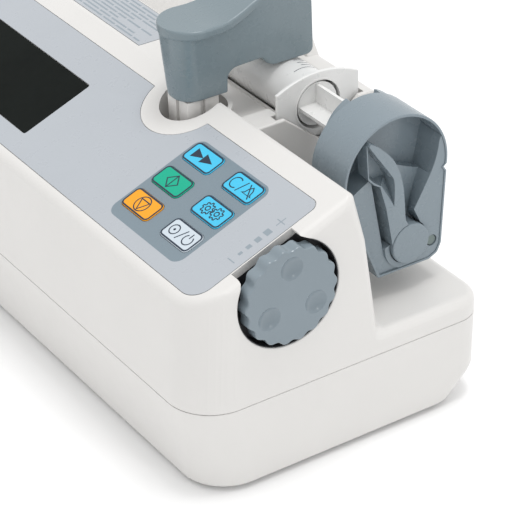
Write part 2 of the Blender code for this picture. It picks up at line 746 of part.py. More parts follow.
def head_outline(inset, steps=14):
    """The (y, z) outline of the pusher head: a drum with a narrower body below it."""
    radius = DRUM_RADIUS - inset
    drum = arc((DRUM_Y, DRUM_Z), radius, 200, -8, steps)
    side = [
        (80.2 - inset, 103.6),
        (81.6 - inset, 101.4),
        (79.4 - inset, 67.0),
        (77.4 - 0.8 * inset, 62.6 + 0.8 * inset),
        (73.0 - 0.4 * inset, 60.6 + inset),
        (46.0 + 0.9 * inset, 60.6 + inset),
    ]
    return drum + side


def pocket_outline():
    """The finger pocket's edge in the head's rear cover, from its ledge round the drum and down the S-curve."""
    inner = arc((DRUM_Y, DRUM_Z), DRUM_RADIUS + 6.0, 192, 62, 10)
    return inner + [
        (71.0, 126.6),
        (75.4, 120.0),
        (76.6, 113.0),
        (75.6, 106.0),
        (71.0, 102.6),
        (59.5, 107.6),
        (43.0, 106.4),
        (33.0, 102.4),
    ]


def channel_outline():
    """The slot that the release lever swings in, round its hub below and open at the pocket."""
    left = [(68.0, 112.0), (37.6, 112.0), (42.4, 94.0), (46.6, 77.2), (52.3, 76.0)]
    right = [(66.8, 84.5), (67.0, 92.0), (72.0, 99.0), (75.6, 106.0)]
    return left + arc((PIVOT_Y, PIVOT_Z), 9.8, 170, 410, 14) + right


def build_head():
    shell = add("head_shell", plate("X", head_outline(0.0), HEAD_FRONT, HEAD_REAR), GREY_PLASTIC)
    hollow = plate("X", head_outline(HEAD_WALL), HEAD_FRONT + 3.0, HEAD_REAR + 5.0)
    rod_hole = rod("X", (PIVOT_Y, PIVOT_Z), ROD_RADIUS + 0.4, HEAD_FRONT - 5, HEAD_REAR, 16)
    shape(shell, "DIFFERENCE", hollow, rod_hole)
    cover = add(
        "head_cover",
        plate("X", head_outline(HEAD_WALL + GAP), HEAD_FRONT + 3.4, HEAD_REAR - 0.7),
        GREY_PLASTIC,
    )
    pocket = plate("X", pocket_outline(), HEAD_REAR - 14.0, HEAD_REAR + 5)
    channel = plate("X", channel_outline(), HEAD_REAR - 8.2, HEAD_REAR + 5)
    strip = plate(
        "X",
        [(28.0, 108.0), (28.0, 58.0), (47.0, 58.0), (44.0, 86.0), (40.0, 104.0)],
        HEAD_REAR - 3.0,
        HEAD_REAR + 5,
    )
    rod_bore = rod("X", (PIVOT_Y, PIVOT_Z), ROD_RADIUS + 0.4, HEAD_FRONT, HEAD_REAR, 16)
    cap_seat = rod("X", (74.4, 69.4), 2.65, HEAD_REAR - 4.3, HEAD_REAR + 3, 12)
    shape(cover, "DIFFERENCE", pocket, channel, strip, rod_bore, cap_seat)
    add(
        "screw_cap",
        rod("X", (74.4, 69.4), 2.35, HEAD_REAR - 4.0, HEAD_REAR - 0.9, 12),
        ("cap_rubber", (0.2, 0.25, 0.24), 0.6, 0.0),
    )
    pad = [
        (HEAD_FRONT - GAP, 0), (HEAD_FRONT - GAP, 9.0), (HEAD_FRONT - 2.6, 9.0), (HEAD_FRONT - 3.0, 8.4),
        (HEAD_FRONT - 3.0, 0),
    ]
    add("force_pad", turned("X", (SYRINGE_Y, SYRINGE_Z), pad, 20), ALUMINIUM)


def lever_outline():
    """The release lever's (y, z) outline: an arm that widens from its pivot to a fingertip hook."""
    hub = arc((PIVOT_Y, PIVOT_Z), 9.2, 70, -210, 12)
    arm = [(48.6, 79.0), (45.6, 94.5), (41.8, 109.5), (40.8, 125.0), (43.4, 126.8), (49.0, 121.8),
           (52.4, 117.0), (57.0, 109.0), (59.2, 102.5), (60.6, 92.5)]
    return arm + hub


def build_lever():
    origin = (HEAD_REAR, PIVOT_Y, PIVOT_Z)
    lever = add(
        "release_lever", plate("X", lever_outline(), HEAD_REAR - 7.5, HEAD_REAR + 1.5), GREY_PLASTIC, origin
    )
    scoop = plate(
        "X",
        [(42.6, 122.6), (43.4, 109.0), (55.4, 94.0), (55.8, 101.0), (50.6, 113.0)],
        HEAD_REAR - 5.5,
        HEAD_REAR + 5,
    )
    hub_cut = rod("X", (PIVOT_Y, PIVOT_Z), 9.8, HEAD_REAR - 1.2, HEAD_REAR + 4, 24)
    bore = rod("X", (PIVOT_Y, PIVOT_Z), ROD_RADIUS + GAP, HEAD_REAR - 12, HEAD_REAR + 4, 16)
    shape(lever, "DIFFERENCE", scoop, hub_cut, bore)
    cap = [
        (HEAD_REAR - 0.9, 0), (HEAD_REAR - 0.9, 9.4), (HEAD_REAR + 1.2, 9.4), (HEAD_REAR + 1.8, 8.8),
        (HEAD_REAR + 1.8, 0),
    ]
    add("pivot_cap", turned("X", (PIVOT_Y, PIVOT_Z), cap, 28), GREY_PLASTIC, origin)
    add("release_rod", rod("X", (PIVOT_Y, PIVOT_Z), ROD_RADIUS, -219.0, HEAD_REAR - 1.3, 12), STEEL, origin)


def build_jaws():
    """Two claws that hold the plunger's thumb disc: each swings about a pin low on the head's front."""
    back = HEAD_FRONT - GAP
    for name, side in (("jaw_front", -1), ("jaw_rear", 1)):
        y, z = SYRINGE_Y + side * 8.5, 94.5
        outer = arc((SYRINGE_Y, SYRINGE_Z), 19.5, 270 + side * 25, 270 + side * 158, 7)
        inner = arc((SYRINGE_Y, SYRINGE_Z), 15.2, 270 + side * 156, 270 + side * 30, 7)
        jaw = add(name, plate("X", outer + inner, back - 6.2, back), GREY_PLASTIC, (back, y, z))
        lip = arc((SYRINGE_Y, SYRINGE_Z), 17.0, 270 + side * 100, 270 + side * 140, 4)
        lip += arc((SYRINGE_Y, SYRINGE_Z), 12.8, 270 + side * 140, 270 + side * 100, 4)
        shape(jaw, "UNION", plate("X", lip, back - 7.4, back - 5.8))


# Drive


def build_drive():
    tube = [
        (HEAD_FRONT - GAP, ROD_RADIUS + 1.6), (HEAD_FRONT - GAP, TUBE_RADIUS), (-206.0, TUBE_RADIUS),
        (-206.0, ROD_RADIUS + 1.6),
    ]
    add("drive_tube", turned("X", (PIVOT_Y, PIVOT_Z), tube, 20), STEEL)
    seal = [
        (CRADLE_END - 3.0, 8.4), (CRADLE_END - 3.0, 11.0), (CRADLE_END - 0.4, 11.0), (CRADLE_END - 0.4, 8.4)
    ]
    add("tube_seal", turned("X", (PIVOT_Y, PIVOT_Z), seal, 20), RUBBER)
    carriage = add("carriage", box((-206.0, 52.0, 53.0), (-190.0, 82.0, 85.0), 1.0), ALUMINIUM)
    tube_bore = rod("X", (PIVOT_Y, PIVOT_Z), TUBE_RADIUS + GAP, -220, -180, 20)
    guide_bore = rod("X", (GUIDE_Y, GUIDE_Z), 4.0 + GAP, -220, -180, 24)
    shape(carriage, "DIFFERENCE", tube_bore, guide_bore)
    arm = [(51.0, 52.0), (51.0, 42.5), (60.0, 42.5), (60.0, 53.5), (57.6, 56.0), (62.0, 64.5)]
    hub = arc((PIVOT_Y, PIVOT_Z), 7.0, 0, 180, 6)
    nut = add("half_nut", plate("X", arm + hub, -218.0, -207.0), BRASS, (-212.0, PIVOT_Y, PIVOT_Z))
    shape(nut, "DIFFERENCE", rod("X", (PIVOT_Y, PIVOT_Z), ROD_RADIUS + GAP, -230, -200, 16),
          rod("X", (SCREW_Y, SCREW_Z), SCREW_RADIUS + GAP, -230, -200, 20))
    add(
        "guide_rod",
        rod("X", (GUIDE_Y, GUIDE_Z), 4.0, PLATE_LEFT - PLATE_THICK, PLATE_RIGHT + PLATE_THICK, 24),
        STEEL,
    )
    origin = (0, SCREW_Y, SCREW_Z)
    add(
        "lead_screw",
        rod("X", (SCREW_Y, SCREW_Z), SCREW_RADIUS, PLATE_LEFT - 11.0, PLATE_RIGHT + 3.6, 16),
        STEEL,
        origin,
    )
    for name, low in (("bearing_left", PLATE_LEFT - PLATE_THICK), ("bearing_right", PLATE_RIGHT)):
        ring = [(low + 0.2, 4.3), (low + 0.2, 8.0), (low + 3.8, 8.0), (low + 3.8, 4.3)]
        add(name, turned("X", (SCREW_Y, SCREW_Z), ring, 16), STEEL)


def gear_outline(middle, teeth, phase):
    """Straight-flanked teeth, thinner than half the pitch so that the pair runs with backlash."""
    pitch_radius = GEAR_MODULE * teeth / 2
    tip = pitch_radius + 0.75 * GEAR_MODULE
    root = pitch_radius - 1.1 * GEAR_MODULE
    points = []
    for i in range(teeth):
        centre = phase + 2 * math.pi * i / teeth
        wide = math.pi / teeth * 0.56
        narrow = math.pi / teeth * 0.24
        for radius, angle in ((root, -wide), (tip, -narrow), (tip, narrow), (root, wide)):
            points.append(

                (middle[0] + radius * math.cos(centre + angle), middle[1] + radius * math.sin(centre + angle)),
            )
    return points


def build_gears():
    spacing = GEAR_MODULE * (GEAR_TEETH + PINION_TEETH) / 2
    motor_y = SCREW_Y - spacing
    low, high = PLATE_LEFT - 10.0, PLATE_LEFT - 5.0
    origin = (0, SCREW_Y, SCREW_Z)
    gear = add(
        "screw_gear",
        plate("X", gear_outline((SCREW_Y, SCREW_Z), GEAR_TEETH, 0.0), low, high),
        BRASS,
        origin,
    )
    shape(gear, "DIFFERENCE", rod("X", (SCREW_Y, SCREW_Z), SCREW_RADIUS + GAP, low - 5, high + 5, 16))
    motor_origin = (0, motor_y, SCREW_Z)
    phase = math.pi / PINION_TEETH
    pinion = add(
        "motor_pinion",
        plate("X", gear_outline((motor_y, SCREW_Z), PINION_TEETH, phase), low, high),
        BRASS,
        motor_origin,
    )
    shape(pinion, "DIFFERENCE", rod("X", (motor_y, SCREW_Z), 2.0 + GAP, low - 5, high + 5, 12))
    add("motor_shaft", rod("X", (motor_y, SCREW_Z), 2.0, low, PLATE_LEFT + 4.0, 12), STEEL, motor_origin)
    motor = add("stepper_motor", box(
        (PLATE_LEFT + 0.4, motor_y - 12.5, SCREW_Z - 12.5),
        (PLATE_LEFT + 19.0, motor_y + 12.5, SCREW_Z + 12.5), 1.5,
    ),
                DARK_PLASTIC)
    shape(motor, "DIFFERENCE", rod("X", (motor_y, SCREW_Z), 2.3, PLATE_LEFT - 5, PLATE_LEFT + 4.3, 12))
    build_chassis(motor_y)


def build_chassis(motor_y):
    left, right = PLATE_LEFT - PLATE_THICK, PLATE_RIGHT + PLATE_THICK
    floor = CHASSIS_Z + 2.0
    outline = [(left, CHASSIS_Z), (right, CHASSIS_Z), (right, 88.0), (PLATE_RIGHT, 88.0), (
        PLATE_RIGHT, floor
    ),
               (PLATE_LEFT, floor), (PLATE_LEFT, 88.0), (left, 88.0)]
    chassis = add("drive_chassis", plate("Y", outline, 22.0, 83.0), ALUMINIUM)
    both = (left - 5, right + 5)
    shape(
        chassis,
        "DIFFERENCE",
        rod("X", (SCREW_Y, SCREW_Z), 8.3, *both, 20),
        rod("X", (GUIDE_Y, GUIDE_Z), 4.0 + GAP, *both, 20),
        rod("X", (PIVOT_Y, PIVOT_Z), TUBE_RADIUS + 1.0, PLATE_RIGHT - 5, right + 5, 20),
        rod("X", (motor_y, SCREW_Z), 3.0, left - 5, PLATE_LEFT + 5, 12),
    )


# Syringe


def flange_outline():
    """The finger flange: a bar with flat ends and gently bowed long sides."""
    half = 21.4
    top = [
        (SYRINGE_Y + half * s, SYRINGE_Z + 15.4 - 5.4 * s * s)
        for s in (1.0, 0.75, 0.4, 0.0, -0.4, -0.75, -1.0)
    ]
    return top + [(y, 2 * SYRINGE_Z - z) for y, z in top[::-1]]


def build_syringe():
    end = -182.0
    profile = [
        (FLANGE_X + 1.0, BARREL_BORE),
        (FLANGE_X + 1.0, BARREL_RADIUS),
        (end + 2.0, BARREL_RADIUS),
        (end, BARREL_RADIUS - 2.0),
        (end, 2.4),
        (end - 12.0, 2.0),
        (end - 12.0, 1.1),
        (end + 1.8, 1.1),
        (end + 1.8, BARREL_BORE),
    ]
    barrel = add("syringe_barrel", turned("X", (SYRINGE_Y, SYRINGE_Z), profile, 28), CLEAR_PLASTIC)
    flange = plate("X", flange_outline(), FLANGE_X - 1.0, FLANGE_X + 0.8)
    shape(barrel, "UNION", flange)
    shape(
        barrel,
        "DIFFERENCE",
        rod("X", (SYRINGE_Y, SYRINGE_Z), BARREL_BORE + 0.2, FLANGE_X - 3.0, FLANGE_X + 2.0, 28),
    )
    stopper = [(-154.0, 0), (-152.0, 10.7), (-150.0, 10.9), (-146.0, 10.9), (-145.0, 10.0), (-145.0, 0)]
    add("plunger_stopper", turned("X", (SYRINGE_Y, SYRINGE_Z), stopper, 24), RUBBER)
    reach, thick = 9.6, 0.9
    quarter = [(reach, -thick), (reach, thick), (thick, thick)]
    cross = []
    for i in range(4):
        turn = Matrix.Rotation(i * math.pi / 2, 2)
        cross += [tuple(Vector((SYRINGE_Y, SYRINGE_Z)) + turn @ Vector(point)) for point in quarter]
    plunger = add("syringe_plunger", plate("X", cross, -144.7, -50.5), CLEAR_PLASTIC)
    thumb = turned(
        "X",
        (SYRINGE_Y, SYRINGE_Z),
        [(-51.6, 0), (-51.6, 13.6), (-51.2, 14.0), (-49.8, 14.0), (-49.4, 13.6), (-49.4, 0)],
        24,
    )
    shape(plunger, "UNION", thumb)


clear_scene()
PARTS = collection("syringe_pump")
CUTTERS = collection("cutters")
build_upper_case()
build_lower_case()
build_base_parts()
build_inlet()
build_panel()
build_knob()
build_boards()
build_clamp()
build_head()
build_lever()
build_jaws()
build_drive()
build_gears()
build_syringe()
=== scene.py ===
"""Looks of a single-channel syringe infusion pump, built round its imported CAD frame.

Shapes are made in design millimetres, as in the CAD: x is 0 on the case's right end face and
negative to the left, y grows to the rear, and z is 0 on the case's underside. place() turns such
a point into metres in the row frame. Pieces that replace a CAD node follow the same outlines with
finer curves and rounded edges.
"""

import json
import math

import bmesh
import bpy
from mathutils import Matrix, Vector

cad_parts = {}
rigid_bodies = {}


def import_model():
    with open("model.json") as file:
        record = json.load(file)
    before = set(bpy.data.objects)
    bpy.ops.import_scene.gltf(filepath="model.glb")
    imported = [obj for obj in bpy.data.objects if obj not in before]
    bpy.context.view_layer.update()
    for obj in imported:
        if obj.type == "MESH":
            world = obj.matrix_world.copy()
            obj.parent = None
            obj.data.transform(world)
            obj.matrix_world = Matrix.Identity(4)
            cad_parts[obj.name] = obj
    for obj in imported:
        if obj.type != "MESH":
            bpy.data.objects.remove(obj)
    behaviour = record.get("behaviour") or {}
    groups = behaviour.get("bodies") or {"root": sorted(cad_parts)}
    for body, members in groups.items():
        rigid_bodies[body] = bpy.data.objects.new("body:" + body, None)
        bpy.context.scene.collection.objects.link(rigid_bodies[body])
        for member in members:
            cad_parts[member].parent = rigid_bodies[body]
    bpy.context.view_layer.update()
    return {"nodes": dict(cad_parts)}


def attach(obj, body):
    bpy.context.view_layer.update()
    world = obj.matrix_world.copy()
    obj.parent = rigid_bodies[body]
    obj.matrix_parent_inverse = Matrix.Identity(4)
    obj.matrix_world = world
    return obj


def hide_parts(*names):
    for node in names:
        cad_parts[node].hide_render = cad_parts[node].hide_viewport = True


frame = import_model()

MM = 0.001
MERGE = 1e-4
WELD_METRES = 2e-6
FLAT_ANGLE = math.radians(0.3)
EDGE_STEPS = 2
SHARP_ANGLE = math.radians(30.0)
CAD_EDGE, CAD_SPLIT = 0.2, 32
BEYOND = 10.0
GAP = 0.3

CASE_LENGTH = 314.0
SEAM_Z = 40.0
SEAM_GAP = 0.3
FRONT_Y = -60.0
REAR_Y = 87.3
FOOT_HEIGHT = 2.0
WALL = 2.5
FRONT_CORNER = 21.0
REAR_CORNER = 13.0
END_EDGE = 4.5
UNDERSIDE_INSET = 6.3
PANEL_TILT = math.radians(21.3)
PANEL_FOOT = (-52.7, 92.4)
PANEL_BAY, PANEL_BAY_RADIUS = (-114.5, 69.0), 22.0
PRINT = (0.03, 0.07)
KEY_PRINT = (0.5, 0.58)
GUIDE_LOW, GUIDE_HIGH = (-308.0, 19.4), (-168.0, 43.4)
RIDGE_Z = 119.7
FRONT_DRAFT = 0.06
DECK_Z = 50.0
SHELF_RIGHT, SHELF_LEFT = -140.0, -146.0
CONSOLE_BACK = ((19.8, 45.2), (25.4, 45.4), (31.8, 45.6))
KNOB_Y, KNOB_Z = KNOB_AXIS = (-14.0, 86.5)
KNOB_RADIUS = 22.8
KNOB_HOLE = 24.4
KNOB_OUT = 2.0
KNOB_SEAT = -8.5
# How far below the panel the knob hole's dark cup, which is painted shade, is cut off.
KNOB_SHADE_DROP = 3.6
KNOB_SCALLOPS = 18
KNOB_SHOWS = 0.7
GRIP_DEPTH = 6.6
SCALLOP_DEPTH = 1.25
DIMPLE_BALL = 7.8
DIMPLE_DEPTH = 2.1
DIMPLE_REACH = 13.0
MIDDLE_X = (KNOB_OUT - CASE_LENGTH) / 2
MIDDLE_Y = (FRONT_Y + REAR_Y) / 2
CRADLE_END = -80.0
CRADLE_Z = 113.7
CRADLE_DEPTH = 16.0
SYRINGE_Y, SYRINGE_Z = SYRINGE_AXIS = (58.5, 114.0)
BARREL_RADIUS = 12.3
BARREL_BORE = 11.2
FLANGE_X = -84.0
CLAMP_X, CLAMP_Y = CLAMP_AXIS = (-114.5, 14.4)
PIT_RADIUS = 15.0
PIT_FLOOR = 98.0
HEAD_REAR = -22.0
HEAD_FRONT = -46.0
DRUM_MIDDLE = (55.5, 108.5)
DRUM_RADIUS = 26.5
HEAD_WALL = 1.1
PLUG = (74.4, 69.4)
PLUG_RADIUS = 2.65
PIVOT = (62.0, 73.0)
TUBE_RADIUS = 8.0
ROD_RADIUS = 3.0
KEY_WIDTH = 20.5
KEY_DEPTH = 11.0
KEY_COLUMNS = (-75.75, -45.25)
KEY_ROWS = (51.0, 34.5, 18.5)
COVER_LOW = (-206.0, -46.0)
COVER_HIGH = (-96.0, -6.0)
INLET_X, INLET_Z = -288.3, 24.0
FUSE_X = -246.0
CHASSIS_POSTS = ((-250.0, 32.0), (-104.0, 32.0), (-250.0, 74.0), (-104.0, 74.0))
FEET = (
    ("foot_front_left", -284.0, -34.0),
    ("foot_front_right", -30.0, -34.0),
    ("foot_rear_left", -284.0, 60.0),
    ("foot_rear_right", -30.0, 60.0),
)
KEYS = (
    ("key_bolus", 0, 0, "key_blue"), ("key_clear", 1, 0, "key_blue"), ("key_start", 0, 1, "key_green"),
    ("key_setup", 1, 1, "key_blue"), ("key_stop", 0, 2, "key_orange"), ("key_power", 1, 2, "key_pale"),
)

AXES = {"X": Vector((1, 0, 0)), "Y": Vector((0, 1, 0)), "Z": Vector((0, 0, 1))}
FILM = {"grain": 2400.0, "depth": 0.00002}
KEY_FILM = {**FILM, "Specular_IOR_Level": 0.3}
MILKY = {"Transmission_Weight": 0.05, "IOR": 1.46}
NOISE_LOW, NOISE_HIGH = 0.3, 0.7
TRACK_EDGE = (0.05, 0.34, 0.13, 1.0)
LOOKS = {}


def place(x, y, z):
    """A design point in metres, in the row frame."""
    return Vector((x - MIDDLE_X, y - MIDDLE_Y, z + FOOT_HEIGHT)) * MM


# Materials


def set_inputs(target, inputs):
    """Sets a node's inputs. An underscore in a name stands for a space."""
    for key, value in inputs.items():
        target.inputs[key.replace("_", " ")].default_value = value


def node(tree, kind, **inputs):
    made = tree.nodes.new(kind)
    set_inputs(made, inputs)
    return made


def base_material(name, colour, roughness, metallic=0.0, **inputs):
    made = bpy.data.materials.new(name)
    made.use_nodes = True
    shader = made.node_tree.nodes["Principled BSDF"]
    shader.inputs["Base Color"].default_value = (*colour, 1.0)
    shader.inputs["Roughness"].default_value = roughness
    shader.inputs["Metallic"].default_value = metallic
    set_inputs(shader, inputs)
    LOOKS[name] = made
    return made, made.node_tree, shader


def noise(tree, scale, detail, stretch=(1, 1, 1)):
    """A noise in the object's own metres, so that its grain has a real size."""
    coords = node(tree, "ShaderNodeTexCoord")
    mapping = node(tree, "ShaderNodeMapping", Scale=stretch)
    found = node(tree, "ShaderNodeTexNoise", Scale=scale, Detail=detail, Roughness=0.55)
    tree.links.new(coords.outputs["Object"], mapping.inputs["Vector"])
    tree.links.new(mapping.outputs["Vector"], found.inputs["Vector"])
    return found.outputs["Fac"]


def spread(tree, value, low, high):
    """A noise's value carried to the range that a socket needs."""
    limits = {"From_Min": NOISE_LOW, "From_Max": NOISE_HIGH, "To_Min": low, "To_Max": high}
    ranged = node(tree, "ShaderNodeMapRange", **limits)
    tree.links.new(value, ranged.inputs["Value"])
    return ranged.outputs["Result"]


def two_tone(tree, shader, value, colour, tone):
    """The base colour wanders a little round the moulding's colour."""
    mixed = tree.nodes.new("ShaderNodeMix")
    mixed.data_type = "RGBA"
    mixed.inputs["A"].default_value = (*[c * (1 - tone) for c in colour], 1.0)
    mixed.inputs["B"].default_value = (*[min(1.0, c * (1 + tone)) for c in colour], 1.0)
    tree.links.new(spread(tree, value, 0.0, 1.0), mixed.inputs["Factor"])
    tree.links.new(mixed.outputs["Result"], shader.inputs["Base Color"])


def bumped(tree, shader, heights):
    """Each height is (noise value, strength, depth in metres)."""
    last = None
    for value, strength, depth in heights:
        bump = node(tree, "ShaderNodeBump", Strength=strength, Distance=depth)
        tree.links.new(value, bump.inputs["Height"])
        if last:
            tree.links.new(last, bump.inputs["Normal"])
        last = bump.outputs["Normal"]
    tree.links.new(last, shader.inputs["Normal"])


def plastic(name, colour, roughness=0.4, tone=0.02, grain=1500.0, depth=0.00004, **inputs):
    """A moulded plastic with a fine spark-eroded grain, faint cloudiness and uneven gloss."""
    _, tree, shader = base_material(name, colour, roughness, **inputs)
    two_tone(tree, shader, noise(tree, 22.0, 5.0), colour, tone)
    gloss = spread(tree, noise(tree, 160.0, 4.0), roughness - 0.05, roughness + 0.06)
    tree.links.new(gloss, shader.inputs["Roughness"])
    bumped(tree, shader, [(noise(tree, grain, 3.0), 0.25, depth), (noise(tree, 90.0, 2.0), 0.06, 0.0002)])


def metal(name, colour, roughness):
    """A turned or brushed metal whose marks run along x."""
    _, tree, shader = base_material(name, colour, roughness, 1.0)
    lines = noise(tree, 2600.0, 3.0, (0.02, 1, 1))
    two_tone(tree, shader, noise(tree, 60.0, 4.0), colour, 0.06)
    tree.links.new(spread(tree, lines, roughness - 0.1, roughness + 0.12), shader.inputs["Roughness"])
    bumped(tree, shader, [(lines, 0.3, 0.00003)])


def circuit_board(name, colour):
    """Green solder mask over a grid of tracks."""
    _, tree, shader = base_material(name, colour, 0.35)
    coords = node(tree, "ShaderNodeTexCoord")
    tracks = node(tree, "ShaderNodeTexBrick", Scale=130.0, Mortar_Size=0.035)
    darker = [c * 0.7 for c in colour]
    set_inputs(tracks, {"Color1": (*colour, 1.0), "Color2": (*darker, 1.0), "Mortar": TRACK_EDGE})
    tree.links.new(coords.outputs["Object"], tracks.inputs["Vector"])
    tree.links.new(tracks.outputs["Color"], shader.inputs["Base Color"])
    bumped(
        tree, shader, [(tracks.outputs["Fac"], 0.3, 0.00005), (noise(tree, 900.0, 2.0), 0.15, 0.00002)]
    )


def make_materials():
    plastic("white_plastic", (0.7, 0.688, 0.67), 0.33, tone=0.012)
    plastic("grey_plastic", (0.215, 0.262, 0.295), 0.26, tone=0.03)
    plastic("knob_grey", (0.215, 0.262, 0.295), 0.21, tone=0.03)
    # The clamp's grey is the head's grey made a little darker to match the clamp's side in shadow:
    # painted shade.
    plastic("clamp_shaded_grey", (0.19, 0.24, 0.265), 0.27, tone=0.03)
    plastic("dark_plastic", (0.022, 0.022, 0.025), 0.48, tone=0.15)
    plastic("panel_sheet", (0.43, 0.458, 0.492), 0.3, tone=0.015, **FILM)
    plastic("key_block_ink", (0.19, 0.245, 0.285), 0.34, tone=0.02, **FILM)
    plastic("key_blue", (0.062, 0.52, 0.78), 0.3, **KEY_FILM)
    plastic("key_green", (0.0, 0.4, 0.25), 0.3, **KEY_FILM)
    plastic("key_orange", (0.86, 0.36, 0.015), 0.3, **KEY_FILM)
    plastic("key_pale", (0.58, 0.65, 0.71), 0.3, **KEY_FILM)
    plastic("ink", (0.006, 0.02, 0.045), 0.35, **FILM)
    plastic("pale_ink", (0.27, 0.32, 0.36), 0.35, **FILM)
    plastic(
        "display_black", (0.006, 0.008, 0.007), 0.45, tone=0.15, grain=3000.0, depth=0.00001,
        Specular_IOR_Level=0.05,
    )
    plastic("rubber", (0.02, 0.02, 0.021), 0.7, tone=0.15, grain=1100.0, depth=0.00008)
    plastic("cap_rubber", (0.17, 0.215, 0.205), 0.55, tone=0.05)
    metal("steel", (0.55, 0.56, 0.58), 0.28)
    metal("aluminium", (0.72, 0.73, 0.75), 0.36)
    metal("brass", (0.72, 0.52, 0.22), 0.32)
    circuit_board("circuit_board", (0.015, 0.17, 0.06))
    plastic("clear_plastic", (0.83, 0.83, 0.82), 0.3, tone=0.01, **FILM, **MILKY)


# Meshes, in design millimetres


def on_axis(axis, middle, along):
    """A point of an axis that passes through middle, given in the other two coordinates."""
    first, second = middle
    points = {"X": (along, first, second), "Y": (first, along, second), "Z": (first, second, along)}
    return Vector(points[axis])


def bevel_edges(bm, edges, offset, steps, clamp=False):
    bmesh.ops.bevel(
        bm, geom=edges, offset=offset, segments=steps, profile=0.5, affect="EDGES", clamp_overlap=clamp
    )


def box(low, high, edge=0.0, steps=3):
    bm = bmesh.new()
    size = Vector(high) - Vector(low)
    middle = (Vector(high) + Vector(low)) / 2
    bmesh.ops.create_cube(bm, size=1.0, matrix=Matrix.LocRotScale(middle, None, size))
    if edge:
        bevel_edges(bm, bm.edges[:], edge, steps)
    return bm


def rod(axis, middle, radius, low, high, sides=64):
    return turned(axis, middle, [(low, 0), (low, radius), (high, radius), (high, 0)], sides)


def plate(axis, outline, low, high, edge=0.0, steps=3):
    """A flat outline made solid between two places on an axis. edge rounds its faces' rims."""
    bm = bmesh.new()
    face = bm.faces.new([bm.verts.new(on_axis(axis, point, low)) for point in outline])
    made = bmesh.ops.extrude_face_region(bm, geom=[face])
    moved = [item for item in made["geom"] if isinstance(item, bmesh.types.BMVert)]
    bmesh.ops.translate(bm, verts=moved, vec=AXES[axis] * (high - low))
    if edge:
        rims = []
        for item in bm.edges:
            along = [vert.co.dot(AXES[axis]) for vert in item.verts]
            if min(along) > high - MERGE or max(along) < low + MERGE:
                rims.append(item)
        bevel_edges(bm, rims, edge, steps, clamp=True)
    return bm


def turned(axis, middle, profile, sides=64):
    """A solid of revolution from a closed profile of (place on the axis, radius) pairs."""
    bm = bmesh.new()
    centre = on_axis(axis, middle, 0.0)
    side = {"X": Vector((0, 0, 1)), "Y": Vector((0, 0, 1)), "Z": Vector((1, 0, 0))}[axis]
    points = [bm.verts.new(centre + AXES[axis] * along + side * radius) for along, radius in profile]
    edges = [bm.edges.new((a, b)) for a, b in zip(points, points[1:] + points[:1])]
    bmesh.ops.spin(
        bm, geom=points + edges, cent=centre, axis=AXES[axis], angle=2 * math.pi, steps=sides,
        use_merge=True,
    )
    bmesh.ops.remove_doubles(bm, verts=bm.verts, dist=MERGE)
    bmesh.ops.dissolve_degenerate(bm, edges=bm.edges, dist=MERGE)
    return bm


def skin(rings, closed=False):
    """Faces between rings that hold the same number of points, back to the first if closed."""
    bm = bmesh.new()
    rows = [[bm.verts.new(point) for point in ring] for ring in rings]
    for row, following in zip(rows, rows[1:] + (rows[:1] if closed else [])):
        for i, vert in enumerate(row):
            after = (i + 1) % len(row)
            bm.faces.new((vert, row[after], following[after], following[i]))
    return bm, rows


def loft(rings):
    """A solid through rings that hold the same number of points."""
    bm, rows = skin(rings)
    bm.faces.new(rows[0])
    bm.faces.new(rows[-1])
    bm.normal_update()
    caps = [face for face in bm.faces if len(face.verts) > 4]
    bmesh.ops.triangulate(bm, faces=caps)
    return bm


def joined(*meshes):
    """Several closed meshes in one."""
    bm = bmesh.new()
    for other in meshes:
        mesh = bpy.data.meshes.new("part")
        other.to_mesh(mesh)
        other.free()
        bm.from_mesh(mesh)
        bpy.data.meshes.remove(mesh)
    return bm


def ribbon(points, width, put, low, high, closed=False):
    """A printed line of one width along points (u, v), standing between two heights."""
    count = len(points)
    rings = []
    for i, point in enumerate(points):
        before = points[i - 1] if closed or i else point
        after = points[(i + 1) % count] if closed or i + 1 < count else point
        first = (Vector(point) - Vector(before)).normalized() if before != point else None
        second = (Vector(after) - Vector(point)).normalized() if after != point else None
        along = ((first or second) + (second or first)).normalized()
        stretch = 1 / max(0.5, along.dot(second or first))
        side = Vector((-along.y, along.x)) * width / 2 * stretch
        a, b = Vector(point) + side, Vector(point) - side
        rings.append([put(*a, low), put(*b, low), put(*b, high), put(*a, high)])
    return skin(rings, closed)[0] if closed else loft(rings)


# Outlines


def arc(middle, radius, start, end, steps):
    angles = [math.radians(start + (end - start) * i / steps) for i in range(steps + 1)]
    return [(middle[0] + radius * math.cos(a), middle[1] + radius * math.sin(a)) for a in angles]


def rounded(corners, steps):
    """An outline whose corners are (u, v, radius), each round corner drawn in a number of steps."""
    points = []
    for i, (u, v, radius) in enumerate(corners):
        here = Vector((u, v))
        if not radius:
            points.append((u, v))
            continue
        to_last = (Vector(corners[i - 1][:2]) - here).normalized()
        to_next = (Vector(corners[(i + 1) % len(corners)][:2]) - here).normalized()
        half = to_last.angle(to_next) / 2
        centre = here + (to_last + to_next).normalized() * radius / math.sin(half)
        start = here + to_last * radius / math.tan(half) - centre
        end = here + to_next * radius / math.tan(half) - centre
        turn = start.angle_signed(end)
        for k in range(steps + 1):
            spoke = start.copy()
            spoke.rotate(Matrix.Rotation(-turn * k / steps, 2))
            points.append(tuple(centre + spoke))
    return points


def rounded_box(low_u, high_u, low_v, high_v, radius, steps=8):
    sides = ((low_u, low_v), (high_u, low_v), (high_u, high_v), (low_u, high_v))
    return rounded([(u, v, radius) for u, v in sides], steps)


